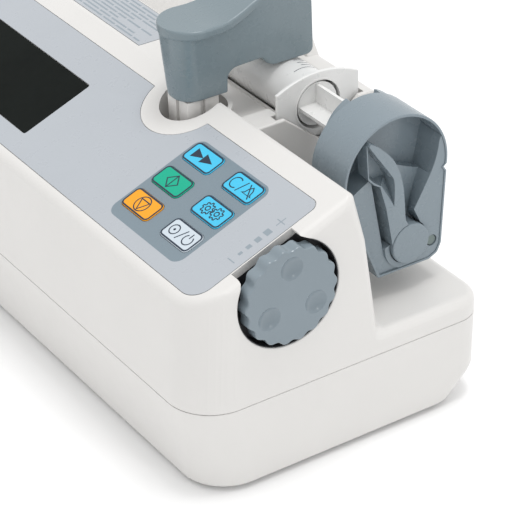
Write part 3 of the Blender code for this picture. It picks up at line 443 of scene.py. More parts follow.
def smooth_line(points, steps=6):
    """A smooth curve through points, with steps points on each stretch."""
    found = []
    for i in range(len(points) - 1):
        a = Vector(points[max(0, i - 1)])
        b = Vector(points[i])
        c = Vector(points[i + 1])
        d = Vector(points[min(len(points) - 1, i + 2)])
        for k in range(steps):
            t = k / steps
            square = (2 * a - 5 * b + 4 * c - d) * t**2
            cube = (3 * b - a - 3 * c + d) * t**3
            found.append(tuple((2 * b + (c - a) * t + square + cube) / 2))
    return found + [tuple(points[-1])]


def corner(radius, distance):
    """How far a rounded corner has fallen back, at a distance from the face that it rounds."""
    if distance >= radius:
        return 0.0
    return radius - math.sqrt(radius**2 - (radius - distance) ** 2)


def quarter(steps):
    """The angles of a quarter turn."""
    return [math.pi / 2 * i / steps for i in range(steps + 1)]


def corner_stations(radius, steps):
    return [radius * (1 - math.cos(angle)) for angle in quarter(steps)]


def on_panel(x, v, w):
    """A point of the sloping panel: x along the case, v up the slope, w out of the surface."""
    foot_y, foot_z = PANEL_FOOT
    y = foot_y + v * math.cos(PANEL_TILT) - w * math.sin(PANEL_TILT)
    return Vector((x, y, foot_z + v * math.sin(PANEL_TILT) + w * math.cos(PANEL_TILT)))


def stacked(levels):
    """A loft through (y, z) outlines that stand at several x."""
    return loft([[(x, y, z) for y, z in outline] for x, outline in levels])


def panel_plate(outline, low, high):
    return loft([[on_panel(x, v, w) for x, v in outline] for w in (low, high)])


# Pieces


def linked(name, data):
    obj = bpy.data.objects.new(name, data)
    bpy.context.scene.collection.objects.link(obj)
    return obj


def bare_object(name, bm):
    bmesh.ops.remove_doubles(bm, verts=bm.verts, dist=MERGE)
    bmesh.ops.recalc_face_normals(bm, faces=bm.faces)
    for vert in bm.verts:
        vert.co = place(*vert.co)
    mesh = bpy.data.meshes.new(name)
    bm.to_mesh(mesh)
    bm.free()
    return linked(name, mesh)


def carve(target, operation, meshes, solver):
    """Cuts meshes from a piece or joins them to it, and keeps only the result."""
    for bm in meshes:
        tool = bare_object("tool", bm)
        modifier = target.modifiers.new("carve", "BOOLEAN")
        modifier.operation = operation
        modifier.object = tool
        modifier.solver = solver
        bpy.context.view_layer.update()
        graph = bpy.context.evaluated_depsgraph_get()
        made = bpy.data.meshes.new_from_object(target.evaluated_get(graph))
        target.modifiers.clear()
        old = target.data
        target.data = made
        bpy.data.meshes.remove(old)
        bpy.data.objects.remove(tool)


def cut(target, *meshes, solver="MANIFOLD"):
    carve(target, "DIFFERENCE", meshes, solver)


def add(target, *meshes, solver="MANIFOLD"):
    carve(target, "UNION", meshes, solver)


def piece(name, bm, look, body, replaces=()):
    """A visible piece that rides on a body."""
    obj = bare_object(name, bm)
    obj.data.materials.append(LOOKS[look])
    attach(obj, body)
    if replaces:
        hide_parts(*replaces)
    return obj


def rounded_edges(obj, edge, steps):
    """Rounds the sharp edges of a piece for good, before more is joined to it."""
    obj.modifiers.clear()
    bm = bmesh.new()
    bm.from_mesh(obj.data)
    bm.normal_update()
    sharp = [item for item in bm.edges if item.is_manifold and item.calc_face_angle() > SHARP_ANGLE]
    bevel_edges(bm, sharp, edge * MM, steps, clamp=True)
    bm.to_mesh(obj.data)
    bm.free()


def bevel_modifier(obj, edge, angle):
    bevel = obj.modifiers.new("edges", "BEVEL")
    bevel.width = edge * MM
    bevel.segments = EDGE_STEPS
    bevel.limit_method = "ANGLE"
    bevel.angle_limit = math.radians(angle)
    return bevel


def finished(obj, edge=0.0, angle=32.0):
    """Smooths what is round, keeps flats flat, and rounds the sharp edges."""
    bm = bmesh.new()
    bm.from_mesh(obj.data)
    bmesh.ops.remove_doubles(bm, verts=bm.verts, dist=WELD_METRES)
    bmesh.ops.dissolve_limit(
        bm, angle_limit=FLAT_ANGLE, verts=bm.verts, edges=bm.edges, delimit={"NORMAL"}
    )
    bm.to_mesh(obj.data)
    bm.free()
    if edge:
        bevel = bevel_modifier(obj, edge, angle)
        bevel.use_clamp_overlap = True
        bevel.miter_outer = "MITER_ARC"
    obj.data.shade_smooth()
    obj.data.set_sharp_from_angle(angle=math.radians(angle))
    weighted = obj.modifiers.new("flats", "WEIGHTED_NORMAL")
    weighted.keep_sharp = True
    weighted.weight = 50
    return obj


# Case


def console_section(x, inset, steps):
    """The upper case's outline at x: sloping console, then its back, then the low deck."""
    to_end = min(-x, x + CASE_LENGTH) - inset
    front = FRONT_Y + corner(FRONT_CORNER, to_end) + inset
    drop = corner(END_EDGE, to_end) + inset
    rear = REAR_Y - corner(REAR_CORNER, to_end) - inset
    slope = math.tan(PANEL_TILT)
    foot_y, foot_z = PANEL_FOOT
    panel_z = foot_z - drop / math.cos(PANEL_TILT)
    bottom = SEAM_Z + SEAM_GAP / 2 - inset
    brow_z = (panel_z + slope * (front - FRONT_DRAFT * SEAM_Z - foot_y)) / (1 - slope * FRONT_DRAFT)
    brow_y = front + FRONT_DRAFT * (brow_z - SEAM_Z)
    top = RIDGE_Z - 1.6 * drop
    ridge_y = foot_y + (top - panel_z) / slope
    shelf = min(1.0, max(0.0, (SHELF_RIGHT - x) / (SHELF_RIGHT - SHELF_LEFT)))
    back_y, waist_y, heel_y = (near + (far - near) * shelf - drop for near, far in CONSOLE_BACK)
    seam_edge = 0.0 if inset else 0.35
    corners = [
        (front, bottom, seam_edge),
        (brow_y, brow_z, 3.0 if inset else 5.5),
        (ridge_y, top, 3.0),
        (back_y, top, 1.5),
        (waist_y, 97.0, 0),
        (heel_y, DECK_Z - drop, 5.0),
        (rear, DECK_Z - drop, 4.5),
        (rear, bottom, seam_edge),
    ]
    return [(x, y, z) for y, z in rounded(corners, steps)]


def console(inset, steps, corner_steps, edge_steps):
    near = sorted(
        set(corner_stations(FRONT_CORNER, corner_steps) + corner_stations(END_EDGE, edge_steps))
    )
    right = [-inset - distance for distance in near]
    left = [-CASE_LENGTH - x for x in right[::-1]]
    return loft([console_section(x, inset, steps) for x in right + [SHELF_RIGHT, SHELF_LEFT] + left])


def cradle_section(x, steps):
    to_left = x + CASE_LENGTH - GAP
    drop = corner(END_EDGE, to_left) + corner(1.0, CRADLE_END - x)
    rear = REAR_Y - GAP - corner(REAR_CORNER, to_left)
    top = CRADLE_Z - drop
    half = 19.5
    corners = [
        (14.0, 44.0, 0),
        (14.0, top, 0),
        (SYRINGE_Y - half, top, 1.2),
        (SYRINGE_Y, top - CRADLE_DEPTH, 4.0),
        (SYRINGE_Y + half, top, 1.2),
        (rear, top, 2.5),
        (rear, 44.0, 0),
    ]
    return [(x, y, z) for y, z in rounded(corners, steps)]


def cradle():
    right = [CRADLE_END - distance for distance in corner_stations(1.0, 5)]
    left = [GAP - CASE_LENGTH + distance for distance in corner_stations(REAR_CORNER, 10)[::-1]]
    return loft([cradle_section(x, 8) for x in right + left])


def overlay_outline(inset):
    left, right, low, top = -303.5 + inset, -9.4 - inset, inset, 65.0 - inset
    return rounded([(left, low, 9.0), (right, low, 9.0), (right, top, 4.5), (left, top, 4.5)], 14)


def overlay(inset, low, high):
    """The printed sheet's solid, with a round bay cut in it where the clamp's pit is."""
    sheet = bare_object("sheet_blank", panel_plate(overlay_outline(inset), low, high))
    bay = panel_plate(arc(PANEL_BAY, PANEL_BAY_RADIUS + inset, 0, 352.5, 47), low - 1, high + 1)
    cut(sheet, bay, solver="EXACT")
    return as_tool(sheet)


def as_tool(obj):
    """Takes an object's mesh back to design millimetres, so that it can cut or become a piece."""
    bm = bmesh.new()
    bm.from_mesh(obj.data)
    for vert in bm.verts:
        x, y, z = vert.co / MM
        vert.co = Vector((x + MIDDLE_X, y + MIDDLE_Y, z - FOOT_HEIGHT))
    mesh = obj.data
    bpy.data.objects.remove(obj)
    bpy.data.meshes.remove(mesh)
    return bm


def key_outline(column, row, grow):
    x = KEY_COLUMNS[column]
    v = KEY_ROWS[row]
    half_u = KEY_WIDTH / 2 + grow
    half_v = KEY_DEPTH / 2 + grow
    return rounded_box(x - half_u, x + half_u, v - half_v, v + half_v, 2.5 + grow)


def key_windows(grow, low, high):
    """The six keys' openings, as one cutter."""
    return joined(*[panel_plate(key_outline(c, r, grow), low, high) for _, c, r, _ in KEYS])


def display_outline(grow):
    return rounded_box(-262.0 - grow, -164.5 + grow, 10.5 - grow, 47.0 + grow, max(0.5, 1.0 + grow), 6)


def flared(axis, middle, radius, floor, mouth, flare):
    """A round cutter whose mouth opens in a small quarter round."""
    lip = [(mouth - flare + flare * math.sin(a), radius + flare * (1 - math.cos(a))) for a in quarter(4)]
    profile = [(floor, 0), (floor, radius), *lip, (mouth + BEYOND, radius + flare), (mouth + BEYOND, 0)]
    return turned(axis, middle, profile, 96)


def build_upper_case():
    hollow = bare_object("hollow", console(WALL, 2, 4, 3))
    cut(
        hollow,
        rod("Z", CLAMP_AXIS, PIT_RADIUS + WALL, PIT_FLOOR - WALL, 125.0, 40),
        rod("X", KNOB_AXIS, KNOB_HOLE + WALL, KNOB_SEAT - WALL, 3.0, 40),
        box((KNOB_SEAT - WALL, -38.0, 84.0), (3.0, -4.0, 114.0)),
    )
    case = piece("case_top", console(0.0, 8, 12, 7), "white_plastic", "case", ["upper_case"])
    wall = [(-300.0, 104.0), (-116.5, 104.0), (-133.4, 128.0), (-300.0, 128.0)]
    add(case, cradle(), plate("Y", wall, 80.5, 86.6, 0.6))
    cut(case, as_tool(hollow))
    room = box((-CASE_LENGTH + 14.0, 13.0, 30.0), (CRADLE_END - WALL, REAR_Y - GAP - WALL, 93.5))
    cut(case, room)
    reach = PIT_RADIUS + 1.8
    front = 22.0
    angle = math.degrees(math.asin((front - CLAMP_Y) / reach))
    bay = arc(CLAMP_AXIS, reach, angle, 180 - angle, 24)
    well = [(-150.0, front), (-150.0, 46.0), (-93.0, 46.0), (-93.0, front)] + bay
    cut(case, plate("Z", well, 106.0, 125.0, 0.6, 3))
    add(case, rod("X", PIVOT, 13.0, CRADLE_END - 5.5, CRADLE_END - 1.0, 48))
    (low_x, low_y), (high_x, high_y) = GUIDE_LOW, GUIDE_HIGH
    cut(
        case,
        box((FLANGE_X - 2.2, SYRINGE_Y - 23.0, 96.4), (FLANGE_X + 2.2, SYRINGE_Y + 23.0, 125.0)),
        rod("X", PIVOT, TUBE_RADIUS + 0.4, -95.0, -70.0),
        rod("X", PIVOT, 11.3, CRADLE_END - 3.3, -70.0),
        rod("Z", CLAMP_AXIS, PIT_RADIUS, PIT_FLOOR, 140.0, 96),
        box((CLAMP_X - 8.4, CLAMP_Y - 8.4, 80.0), (CLAMP_X + 8.4, CLAMP_Y + 8.4, 110.0)),
        flared("X", KNOB_AXIS, KNOB_HOLE, KNOB_SEAT, 0.0, 0.5),
        rod("X", KNOB_AXIS, ROD_RADIUS + 0.4, -30.0, -5.0, 32),
        box((KNOB_SEAT, -35.5, 92.0), (10.0, -6.5, 130.0)),
        overlay(-GAP, -0.6, 8.0),
        key_windows(GAP, -6.0, 4.0),
        panel_plate(display_outline(-1.5), -6.0, 4.0),
        box((low_x - GAP, low_y - GAP, RIDGE_Z - 0.6), (high_x + GAP, high_y + GAP, 130.0)),
    )
    finished(case, angle=28.0)


def lower_ring(z, inset, steps):
    lean = UNDERSIDE_INSET * (1 - z / SEAM_Z)
    foot = max(0.0, 12.3 - z)
    side = 1.5 * (1 - z / SEAM_Z)
    front = FRONT_Y + lean + inset
    rear = REAR_Y - foot - inset
    left = -CASE_LENGTH + side + inset
    right = -side - inset
    corners = [
        (left, front, FRONT_CORNER - inset),
        (right, front, FRONT_CORNER - inset),
        (right, rear, REAR_CORNER - inset),
        (left, rear, REAR_CORNER - inset),
    ]
    return [(x, y, z) for x, y in rounded(corners, steps)]


def build_lower_case():
    top = SEAM_Z - SEAM_GAP / 2
    low_edge = [(1.6 * (1 - math.cos(a)), 1.6 * (1 - math.sin(a))) for a in quarter(6)]
    outside = [lower_ring(z, inset, 18) for z, inset in low_edge]
    outside += [lower_ring(z, 0.0, 18) for z in (11.0, 13.6)]
    outside += [
        lower_ring(top - 0.35, 0.0, 18), lower_ring(top - 0.1, 0.1, 18), lower_ring(top, 0.35, 18)
    ]
    inside = [lower_ring(z, WALL, 18) for z in (top, 12.3, WALL)]
    case = piece("case_bottom", loft(outside + inside), "white_plastic", "case", ["lower_case"])
    add(case, *[rod("Z", post, 4.0, WALL - 0.5, 13.7, 24) for post in CHASSIS_POSTS])
    (low_x, low_y), (high_x, high_y) = COVER_LOW, COVER_HIGH
    seats = [rod("Z", (x, y), 7.3, -3.0, 1.0, 40) for _, x, y in FEET]
    cut(
        case,
        box((low_x - GAP, low_y - GAP, -5.0), (high_x + GAP, high_y + GAP, 10.0)),
        box((INLET_X - 13.8, 70.0, INLET_Z - 9.9), (INLET_X + 13.8, 100.0, INLET_Z + 9.9)),
        rod("Y", (FUSE_X, INLET_Z), 6.4, 70.0, 100.0, 40),
        joined(*seats),
    )
    finished(case, angle=28.0)


def build_base_parts():
    for name, x, y in FEET:
        profile = [
            (-FOOT_HEIGHT, 0), (-FOOT_HEIGHT, 6.2), (-1.75, 6.65), (-1.2, 7.0), (0.7, 7.0), (0.7, 0)
        ]
        finished(piece(f"{name}_pad", turned("Z", (x, y), profile, 48), "rubber", "case", [name]))
    (low_x, low_y), (high_x, high_y) = COVER_LOW, COVER_HIGH
    door = box((low_x, low_y, 0.0), (high_x, high_y, 2.2), 0.3)
    cover = piece("battery_door", door, "white_plastic", "case", ["battery_cover"])
    grips = [
        box((high_x - 14.0 + 2.5 * i, -34.0, -1.0), (high_x - 12.8 + 2.5 * i, -18.0, 0.6))
        for i in range(4)
    ]
    cut(cover, *grips, solver="EXACT")
    finished(cover, 0.15)
    inlet_low = (INLET_X - 13.5, 66.0, INLET_Z - 9.6)
    inlet_high = (INLET_X + 13.5, REAR_Y - 0.6, INLET_Z + 9.6)
    inlet = piece("inlet_body", box(inlet_low, inlet_high), "dark_plastic", "case", ["mains_inlet"])
    mouth = rounded(
        [
            (-11.8, -7.6, 1.0), (11.8, -7.6, 1.0), (11.8, 3.6, 1.0), (7.8, 7.6, 1.0), (-7.8, 7.6, 1.0),
            (-11.8, 3.6, 1.0),
        ],
        5,
    )
    cut(inlet, plate("Y", [(INLET_X + x, INLET_Z + z) for x, z in mouth], 70.0, 95.0), solver="EXACT")
    finished(inlet, 0.3)
    for i, (x, z) in enumerate(((-7.0, -1.5), (0.0, 2.0), (7.0, -1.5))):
        low = (INLET_X + x - 1.0, 69.0, INLET_Z + z - 2.2)
        high = (INLET_X + x + 1.0, 82.0, INLET_Z + z + 2.2)
        finished(piece(f"inlet_pin_{i + 1}", box(low, high, 0.3), "steel", "case"))
    profile = [(66.0, 0), (66.0, 5.0), (84.0, 5.0), (84.0, 6.1), (86.4, 6.1), (86.8, 5.7), (86.8, 0)]
    fuse = piece(
        "fuse_cap", turned("Y", (FUSE_X, INLET_Z), profile), "dark_plastic", "case", ["fuse_holder"]
    )
    cut(
        fuse,
        box((FUSE_X - 4.5, 86.0, INLET_Z - 0.6), (FUSE_X + 4.5, 90.0, INLET_Z + 0.6)),
        solver="EXACT",
    )
    finished(fuse)


# Panel


def printed(name, bm, look, body="case"):
    return finished(piece(name, bm, look, body))


def build_panel():
    sheet = piece("printed_sheet", overlay(0.0, -0.3, 0.05), "panel_sheet", "case", ["panel_sheet"])
    cut(sheet, key_windows(GAP, -3.0, 3.0), panel_plate(display_outline(GAP), -3.0, 3.0))
    finished(sheet)
    ink = panel_plate(rounded_box(-87.5, -33.0, 7.0, 58.0, 5.0), *PRINT)
    block = piece("key_block_print", ink, "key_block_ink", "case")
    cut(block, key_windows(0.25, -3.0, 3.0))
    finished(block)
    glass = panel_plate(display_outline(0.0), -0.3, 0.0)
    finished(piece("display_glass", glass, "display_black", "case", ["display_window"]), 0.08)
    sizes = ((42.0, 1.75, 1.5), (37.0, 1.45, 1.35), (32.2, 1.1, 1.2), (27.8, 0.75, 1.0))
    bars = [
        panel_plate([(-15 - w, v - h), (-15 + w, v - h), (-15 + w, v + h), (-15 - w, v + h)], *PRINT)
        for v, w, h in sizes
    ]
    plus = [
        ribbon([(-17.6, 49.0), (-12.4, 49.0)], 0.45, on_panel, *PRINT),
        ribbon([(-15.0, 46.4), (-15.0, 51.6)], 0.45, on_panel, 0.03, 0.075),
    ]
    minus = ribbon([(-17.4, 23.0), (-12.6, 23.0)], 0.45, on_panel, *PRINT)
    printed("level_scale_print", joined(*bars, *plus, minus), "pale_ink")


def ring(middle, radius, steps=32):
    return arc(middle, radius, 0, 360 - 360 / steps, steps - 1)


def icon_lines(name):
    """The lines of a key's sign, as (points, closed) in millimetres from the key's middle."""
    if name == "key_start":
        diamond = [(-3.9, 0), (0, 3.7), (3.9, 0), (0, -3.7)]
        return [(diamond, True), ([(0, -3.4), (0, 3.4)], False)]
    if name == "key_stop":
        return [(ring((0, 0), 4.0), True), ([(-2.9, 1.9), (2.9, 1.9), (0, -3.4)], True)]
    if name == "key_power":
        left = [(ring((-5.2, 0), 2.5), True), (ring((-5.2, 0), 0.35, 8), True)]
        right = [(arc((5.0, -0.3), 2.6, 125, 415, 24), False), ([(5.0, 0.6), (5.0, 3.4)], False)]
        return left + [([(-1.3, -3.1), (1.5, 3.1)], False)] + right
    if name == "key_clear":
        bell = [(1.6, -1.9), (2.7, -1.2), (3.2, 1.0), (4.6, 2.6), (6.0, 1.0), (6.5, -1.2), (7.6, -1.9)]
        crossed = [([(2.0, 3.2), (7.2, -3.4)], False)]
        sign = [(arc((-5.2, 0), 2.9, 50, 310, 24), False), ([(-1.9, -3.3), (0.3, 3.3)], False)]
        return sign + [(bell, True)] + crossed
    gears = []
    for middle, phase in (((-3.1, 0.0), 0.0), ((3.3, 0.2), math.pi / 8)):
        points = []
        for i in range(32):
            radius = 3.25 if i % 4 in (0, 1) else 2.45
            angle = 2 * math.pi * (i - 0.5) / 32 + phase
            points.append((middle[0] + radius * math.cos(angle), middle[1] + radius * math.sin(angle)))
        gears += [(points, True), (ring(middle, 1.15, 20), True)]
    return gears


def build_keys():
    for name, column, row, look in KEYS:
        x0, v0 = KEY_COLUMNS[column], KEY_ROWS[row]

        def put(u, v, w):
            return on_panel(x0 + u, v0 + v, w)

        heights = [(0.0, -3.2), (0.0, 0.2)] + [
            (-0.5 * (1 - math.cos(a)), 0.2 + 0.35 * math.sin(a)) for a in quarter(4)[1:]
        ]
        rings = [[on_panel(x, v, w) for x, v in key_outline(column, row, grow)] for grow, w in heights]
        finished(piece(f"{name}_cap", loft(rings), look, name, [name]))
        border = [(x - x0, v - v0) for x, v in key_outline(column, row, -0.55)]
        printed(f"{name}_border", ribbon(border, 0.75, put, *KEY_PRINT, True), "ink", name)
        if name == "key_bolus":
            arrows = [[(-6.6, -2.7), (0.2, 0), (-6.6, 2.7)], [(0.0, -2.7), (6.8, 0), (0.0, 2.7)]]
            sign = joined(
                *[loft([[put(u, v, w) for u, v in arrow] for w in KEY_PRINT]) for arrow in arrows]
            )
        else:
            lines = icon_lines(name)
            strips = [
                ribbon(points, 0.55, put, KEY_PRINT[0], KEY_PRINT[1] + 0.002 * i, closed)
                for i, (points, closed) in enumerate(lines)
            ]
            sign = joined(*strips)
        printed(f"{name}_sign", sign, "ink", name)


def build_instruction_plate():
    low, high = (*GUIDE_LOW, RIDGE_Z - 0.3), (*GUIDE_HIGH, RIDGE_Z + 0.1)
    finished(piece("guide_plate", box(low, high, 0.05, 1), "panel_sheet", "case", ["instruction_plate"]))
    lines = []
    ends = (-172.0, -171.0, -175.5, -172.5, -188.0, -173.0, -196.0, -180.0, -171.5)
    for i, end in enumerate(ends):
        y = 41.2 - 2.45 * i
        start = -303.0
        dash = 0
        while start < end - 3:
            length = 7.0 + (dash * 37 + i * 23) % 11
            stop = min(end, start + length)
            lines.append(box((start, y - 0.5, RIDGE_Z + 0.08), (stop, y + 0.5, RIDGE_Z + 0.13)))
            start = stop + 1.4
            dash += 1
    printed("guide_plate_lines", joined(*lines), "pale_ink")


# Knob


def build_knob():
    count = KNOB_SCALLOPS * 12
    front = KNOB_OUT + KNOB_SHOWS
    back = front - GRIP_DEPTH
    stations = (
        (back, 0.9), (back + 0.4, 0.5), (front - 1.2, 0.6), (front - 0.5, 0.75), (front - 0.15, 1.0),
        (front, 1.4),
    )
    levels = []
    for x, inset in stations:
        outline = []
        for i in range(count):
            angle = 2 * math.pi * i / count
            wave = (1 - math.cos(KNOB_SCALLOPS * angle)) / 2
            radius = KNOB_RADIUS - inset - SCALLOP_DEPTH * wave
            outline.append((KNOB_Y + radius * math.cos(angle), KNOB_Z + radius * math.sin(angle)))
        levels.append((x, outline))
    knob = piece("knob_grip", stacked(levels), "knob_grey", "knob", ["knob"])
    dimples = []
    for angle in (90, 210, 330):
        y, z = arc(KNOB_AXIS, DIMPLE_REACH, angle, angle, 1)[0]
        middle = Vector((front - DIMPLE_DEPTH + DIMPLE_BALL, y, z))
        bm = bmesh.new()
        bmesh.ops.create_uvsphere(
            bm, u_segments=96, v_segments=64, radius=DIMPLE_BALL, matrix=Matrix.Translation(middle)
        )
        dimples.append(bm)
    add(knob, rod("X", KNOB_AXIS, 14.0, KNOB_SEAT + 0.7, back + 1.0))
    cut(knob, *dimples, rod("X", KNOB_AXIS, ROD_RADIUS + GAP, -20.0, -2.0, 32))
    finished(knob, angle=24.0)
    # A dark plastic cup lines the knob's hole: painted shade that darkens the gap round the knob.
    wall = KNOB_HOLE - 0.05
    floor = KNOB_SEAT + 0.02
    sleeve = [
        (floor, 4.0), (floor, wall), (-0.6, wall), (-0.6, wall - 0.3), (floor + 0.2, wall - 0.3),
        (floor + 0.2, 4.0),
    ]
    well = piece("knob_gap_shade", turned("X", KNOB_AXIS, sleeve, 96), "dark_plastic", "case")
    above = [(-20.0, -8.0), (5.0, -8.0), (5.0, 80.0), (-20.0, 80.0)]
    cut(well, panel_plate(above, -KNOB_SHADE_DROP, 20.0))
    finished(well)


# Clamp


def build_clamp():
    """The arm is one tapering block, with the space behind and below its beam cut away."""
    rings = []
    for z, half in ((120.4, 9.9), (135.0, 10.7), (150.0, 11.3), (166.0, 11.4)):
        front = 1.2 + (152.0 - z) * 0.08
        corners = [
            (CLAMP_X - half, front, 9.0), (CLAMP_X + half, front, 9.0), (CLAMP_X + half, 71.6, 0.6),
            (CLAMP_X - half, 71.6, 0.6),
        ]
        rings.append([(x, y, z) for x, y in rounded(corners, 12)])
    arm = piece("clamp_beam", loft(rings), "clamp_shaded_grey", "clamp_arm", ["clamp_arm"])
    pad = SYRINGE_Z + BARREL_RADIUS + GAP
    below = rounded(
        [
            (26.3, 100.0, 0), (26.3, 131.4, 4.6), (43.6, 131.9, 1.2), (46.8, pad + 1.6, 1.0),
            (50.0, pad, 2.0), (70.8, pad, 3.2), (68.9, 170.0, 0), (90.0, 170.0, 0), (90.0, 100.0, 0),
        ],
        8,
    )
    above = [
        (-10.0, 154.0), (24.0, 154.0), (34.0, 156.8), (44.0, 160.4), (52.0, 161.6), (90.0, 161.6),
        (90.0, 175.0), (-10.0, 175.0),
    ]
    wide = (CLAMP_X - 20.0, CLAMP_X + 20.0)
    cut(arm, plate("X", below, *wide), plate("X", above, *wide))
    finished(arm)
    rounded_edges(arm, 1.1, 4)
    add(arm, clamp_lip())
    cut(arm, rod("Z", CLAMP_AXIS, 4.3, 110.0, 142.3, 32))
    finished(arm, angle=30.0)


def clamp_lip():
    """The arm's raised top: a round cap that runs out along the beam, flush with its sides."""
    top_line = smooth_line(
        [
            (0.0, 155.4), (14.0, 155.4), (24.0, 155.6), (34.0, 158.2), (44.0, 161.7), (52.0, 163.0),
            (60.0, 163.0), (68.9, 163.0),
        ],
        10,
    )
    stations = [
        (CLAMP_Y - 14.4 * math.cos(a), 14.4 * math.sin(a))
        for a in (math.radians(4 + 6 * i) for i in range(17))
    ]
    last_y, last_half = stations[-1]
    for i in range(1, 13):
        share = i / 12
        ease = share * share * (3 - 2 * share)
        stations.append(
            (last_y + (68.9 - last_y) * share, last_half + (11.35 - last_half) * min(1.0, 2.2 * ease))
        )
    rings = []
    for y, half in stations:
        z = next(
            b + (d - b) * (y - a) / (c - a)
            for (a, b), (c, d) in zip(top_line, top_line[1:]) if y <= c + MERGE
        )
        radius = min(1.3, half * 0.45)
        outline = rounded_box(CLAMP_X - half, CLAMP_X + half, z - 4.4, z, radius, 5)
        rings.append([(x, y, height) for x, height in outline])
    return loft(rings)


# Pusher head


def head_outline(inset):
    radius = DRUM_RADIUS - inset
    drum = arc(DRUM_MIDDLE, radius, 200, -8, 56)
    low = rounded(
        [
            (81.6 - inset, 101.4, 0),
            (79.4 - inset, 67.0, 1.5),
            (77.4 - 0.8 * inset, 62.6 + 0.8 * inset, 2.5),
            (73.0 - 0.4 * inset, 60.6 + inset, 3.0),
            (46.0 + 0.9 * inset, 60.6 + inset, 1.2),
            drum[0] + (0,),
        ],
        6,
    )
    return drum + [(80.2 - inset, 103.6)] + low[:-1]


def build_head():
    block = plate("X", head_outline(0.0), HEAD_FRONT, HEAD_REAR, 0.45, 3)
    shell = piece("head_case", block, "grey_plastic", "pusher", ["head_shell"])
    cut(
        shell,
        plate("X", head_outline(HEAD_WALL), HEAD_FRONT + 3.0, HEAD_REAR + 5.0),
        rod("X", PIVOT, ROD_RADIUS + 0.4, HEAD_FRONT - 5, HEAD_REAR, 32),
        solver="EXACT",
    )
    finished(shell, angle=25.0)
    filling = plate("X", head_outline(HEAD_WALL + 0.1), HEAD_FRONT + 3.4, HEAD_REAR - 0.4)
    cover = piece("head_back", filling, "grey_plastic", "pusher", ["head_cover"])
    drum = arc(DRUM_MIDDLE, DRUM_RADIUS + 6.0, 192, 24, 48)
    ledges = [
        (70.4, 102.9), (66.0, 104.8), (59.5, 107.9), (51.0, 108.0), (43.9, 107.7), (36.2, 103.6),
        (30.0, 100.0),
    ]
    rim = [(79.2, 120.0), (77.8, 117.0), (77.2, 113.4), (76.2, 109.4), (74.9, 105.8), (73.3, 102.4)]
    foot = [(78.6, 120.0), (77.0, 116.6), (76.4, 113.2), (75.6, 109.2), (74.7, 105.4), (73.8, 101.8)]
    levels = ((HEAD_REAR - 14.0, foot), (HEAD_REAR - 0.4, rim), (HEAD_REAR + 5.0, rim))
    pocket = stacked([(x, drum + smooth_line(edge, 8) + ledges) for x, edge in levels])
    rim = [(75.4, 107.0), (73.3, 102.4), (69.8, 96.2), (66.2, 90.1), (63.6, 85.4), (62.6, 80.6)]
    foot = [(74.4, 106.4), (72.6, 102.2), (70.3, 96.2), (68.6, 90.1), (67.4, 84.4), (66.8, 79.6)]
    rest = [(60.0, 78.0), (56.0, 90.0), (52.0, 108.5)]
    levels = ((HEAD_REAR - 8.19, foot), (HEAD_REAR - 0.4, rim), (HEAD_REAR + 5.0, rim))
    slope = stacked([(x, smooth_line(edge, 8) + rest) for x, edge in levels])
    left = [(38.0, 112.0), (43.6, 108.4), (44.6, 105.4), (49.3, 73.6)]
    hub = arc(PIVOT, 9.8, 170, 410, 48)
    channel = plate("X", [(66.0, 112.0)] + left + hub + [(63.0, 92.0)], HEAD_REAR - 8.2, HEAD_REAR + 5)
    slope_rings = []
    for z, y in ((50.0, 64.0), (73.0, 60.0), (73.6, 49.3), (105.4, 44.6), (108.4, 43.6)):
        low = HEAD_REAR - 0.5 - 2.5 * min(1.0, max(0.0, (z - 60.0) / 30.0))
        slope_rings.append(
            [(low, 24.0, z), (low, y, z), (HEAD_REAR + 5.0, y, z), (HEAD_REAR + 5.0, 24.0, z)]
        )
    strip = bare_object("strip", loft(slope_rings))
    cut(strip, rod("X", PIVOT, 12.2, HEAD_REAR - 9, HEAD_REAR + 9, 96), solver="EXACT")
    cut(
        cover,
        pocket,
        slope,
        channel,
        as_tool(strip),
        rod("X", PIVOT, ROD_RADIUS + 0.4, HEAD_FRONT, HEAD_REAR, 32),
        rod("X", PLUG, PLUG_RADIUS, HEAD_REAR - 4.3, HEAD_REAR + 3, 40),
    )
    finished(cover, 0.18, 30.0)
    cap = [
        (HEAD_REAR - 4.0, 0), (HEAD_REAR - 4.0, 2.35), (HEAD_REAR - 1.05, 2.35), (HEAD_REAR - 0.9, 2.2),
        (HEAD_REAR - 0.9, 0),
    ]
    finished(piece("screw_plug", turned("X", PLUG, cap, 40), "cap_rubber", "pusher", ["screw_cap"]))
    back = HEAD_FRONT - GAP
    pad = [
        (back, 0), (back, 9.0), (HEAD_FRONT - 2.6, 9.0), (HEAD_FRONT - 3.0, 8.6), (HEAD_FRONT - 3.0, 0)
    ]
    finished(piece("force_disc", turned("X", SYRINGE_AXIS, pad), "aluminium", "pusher", ["force_pad"]))


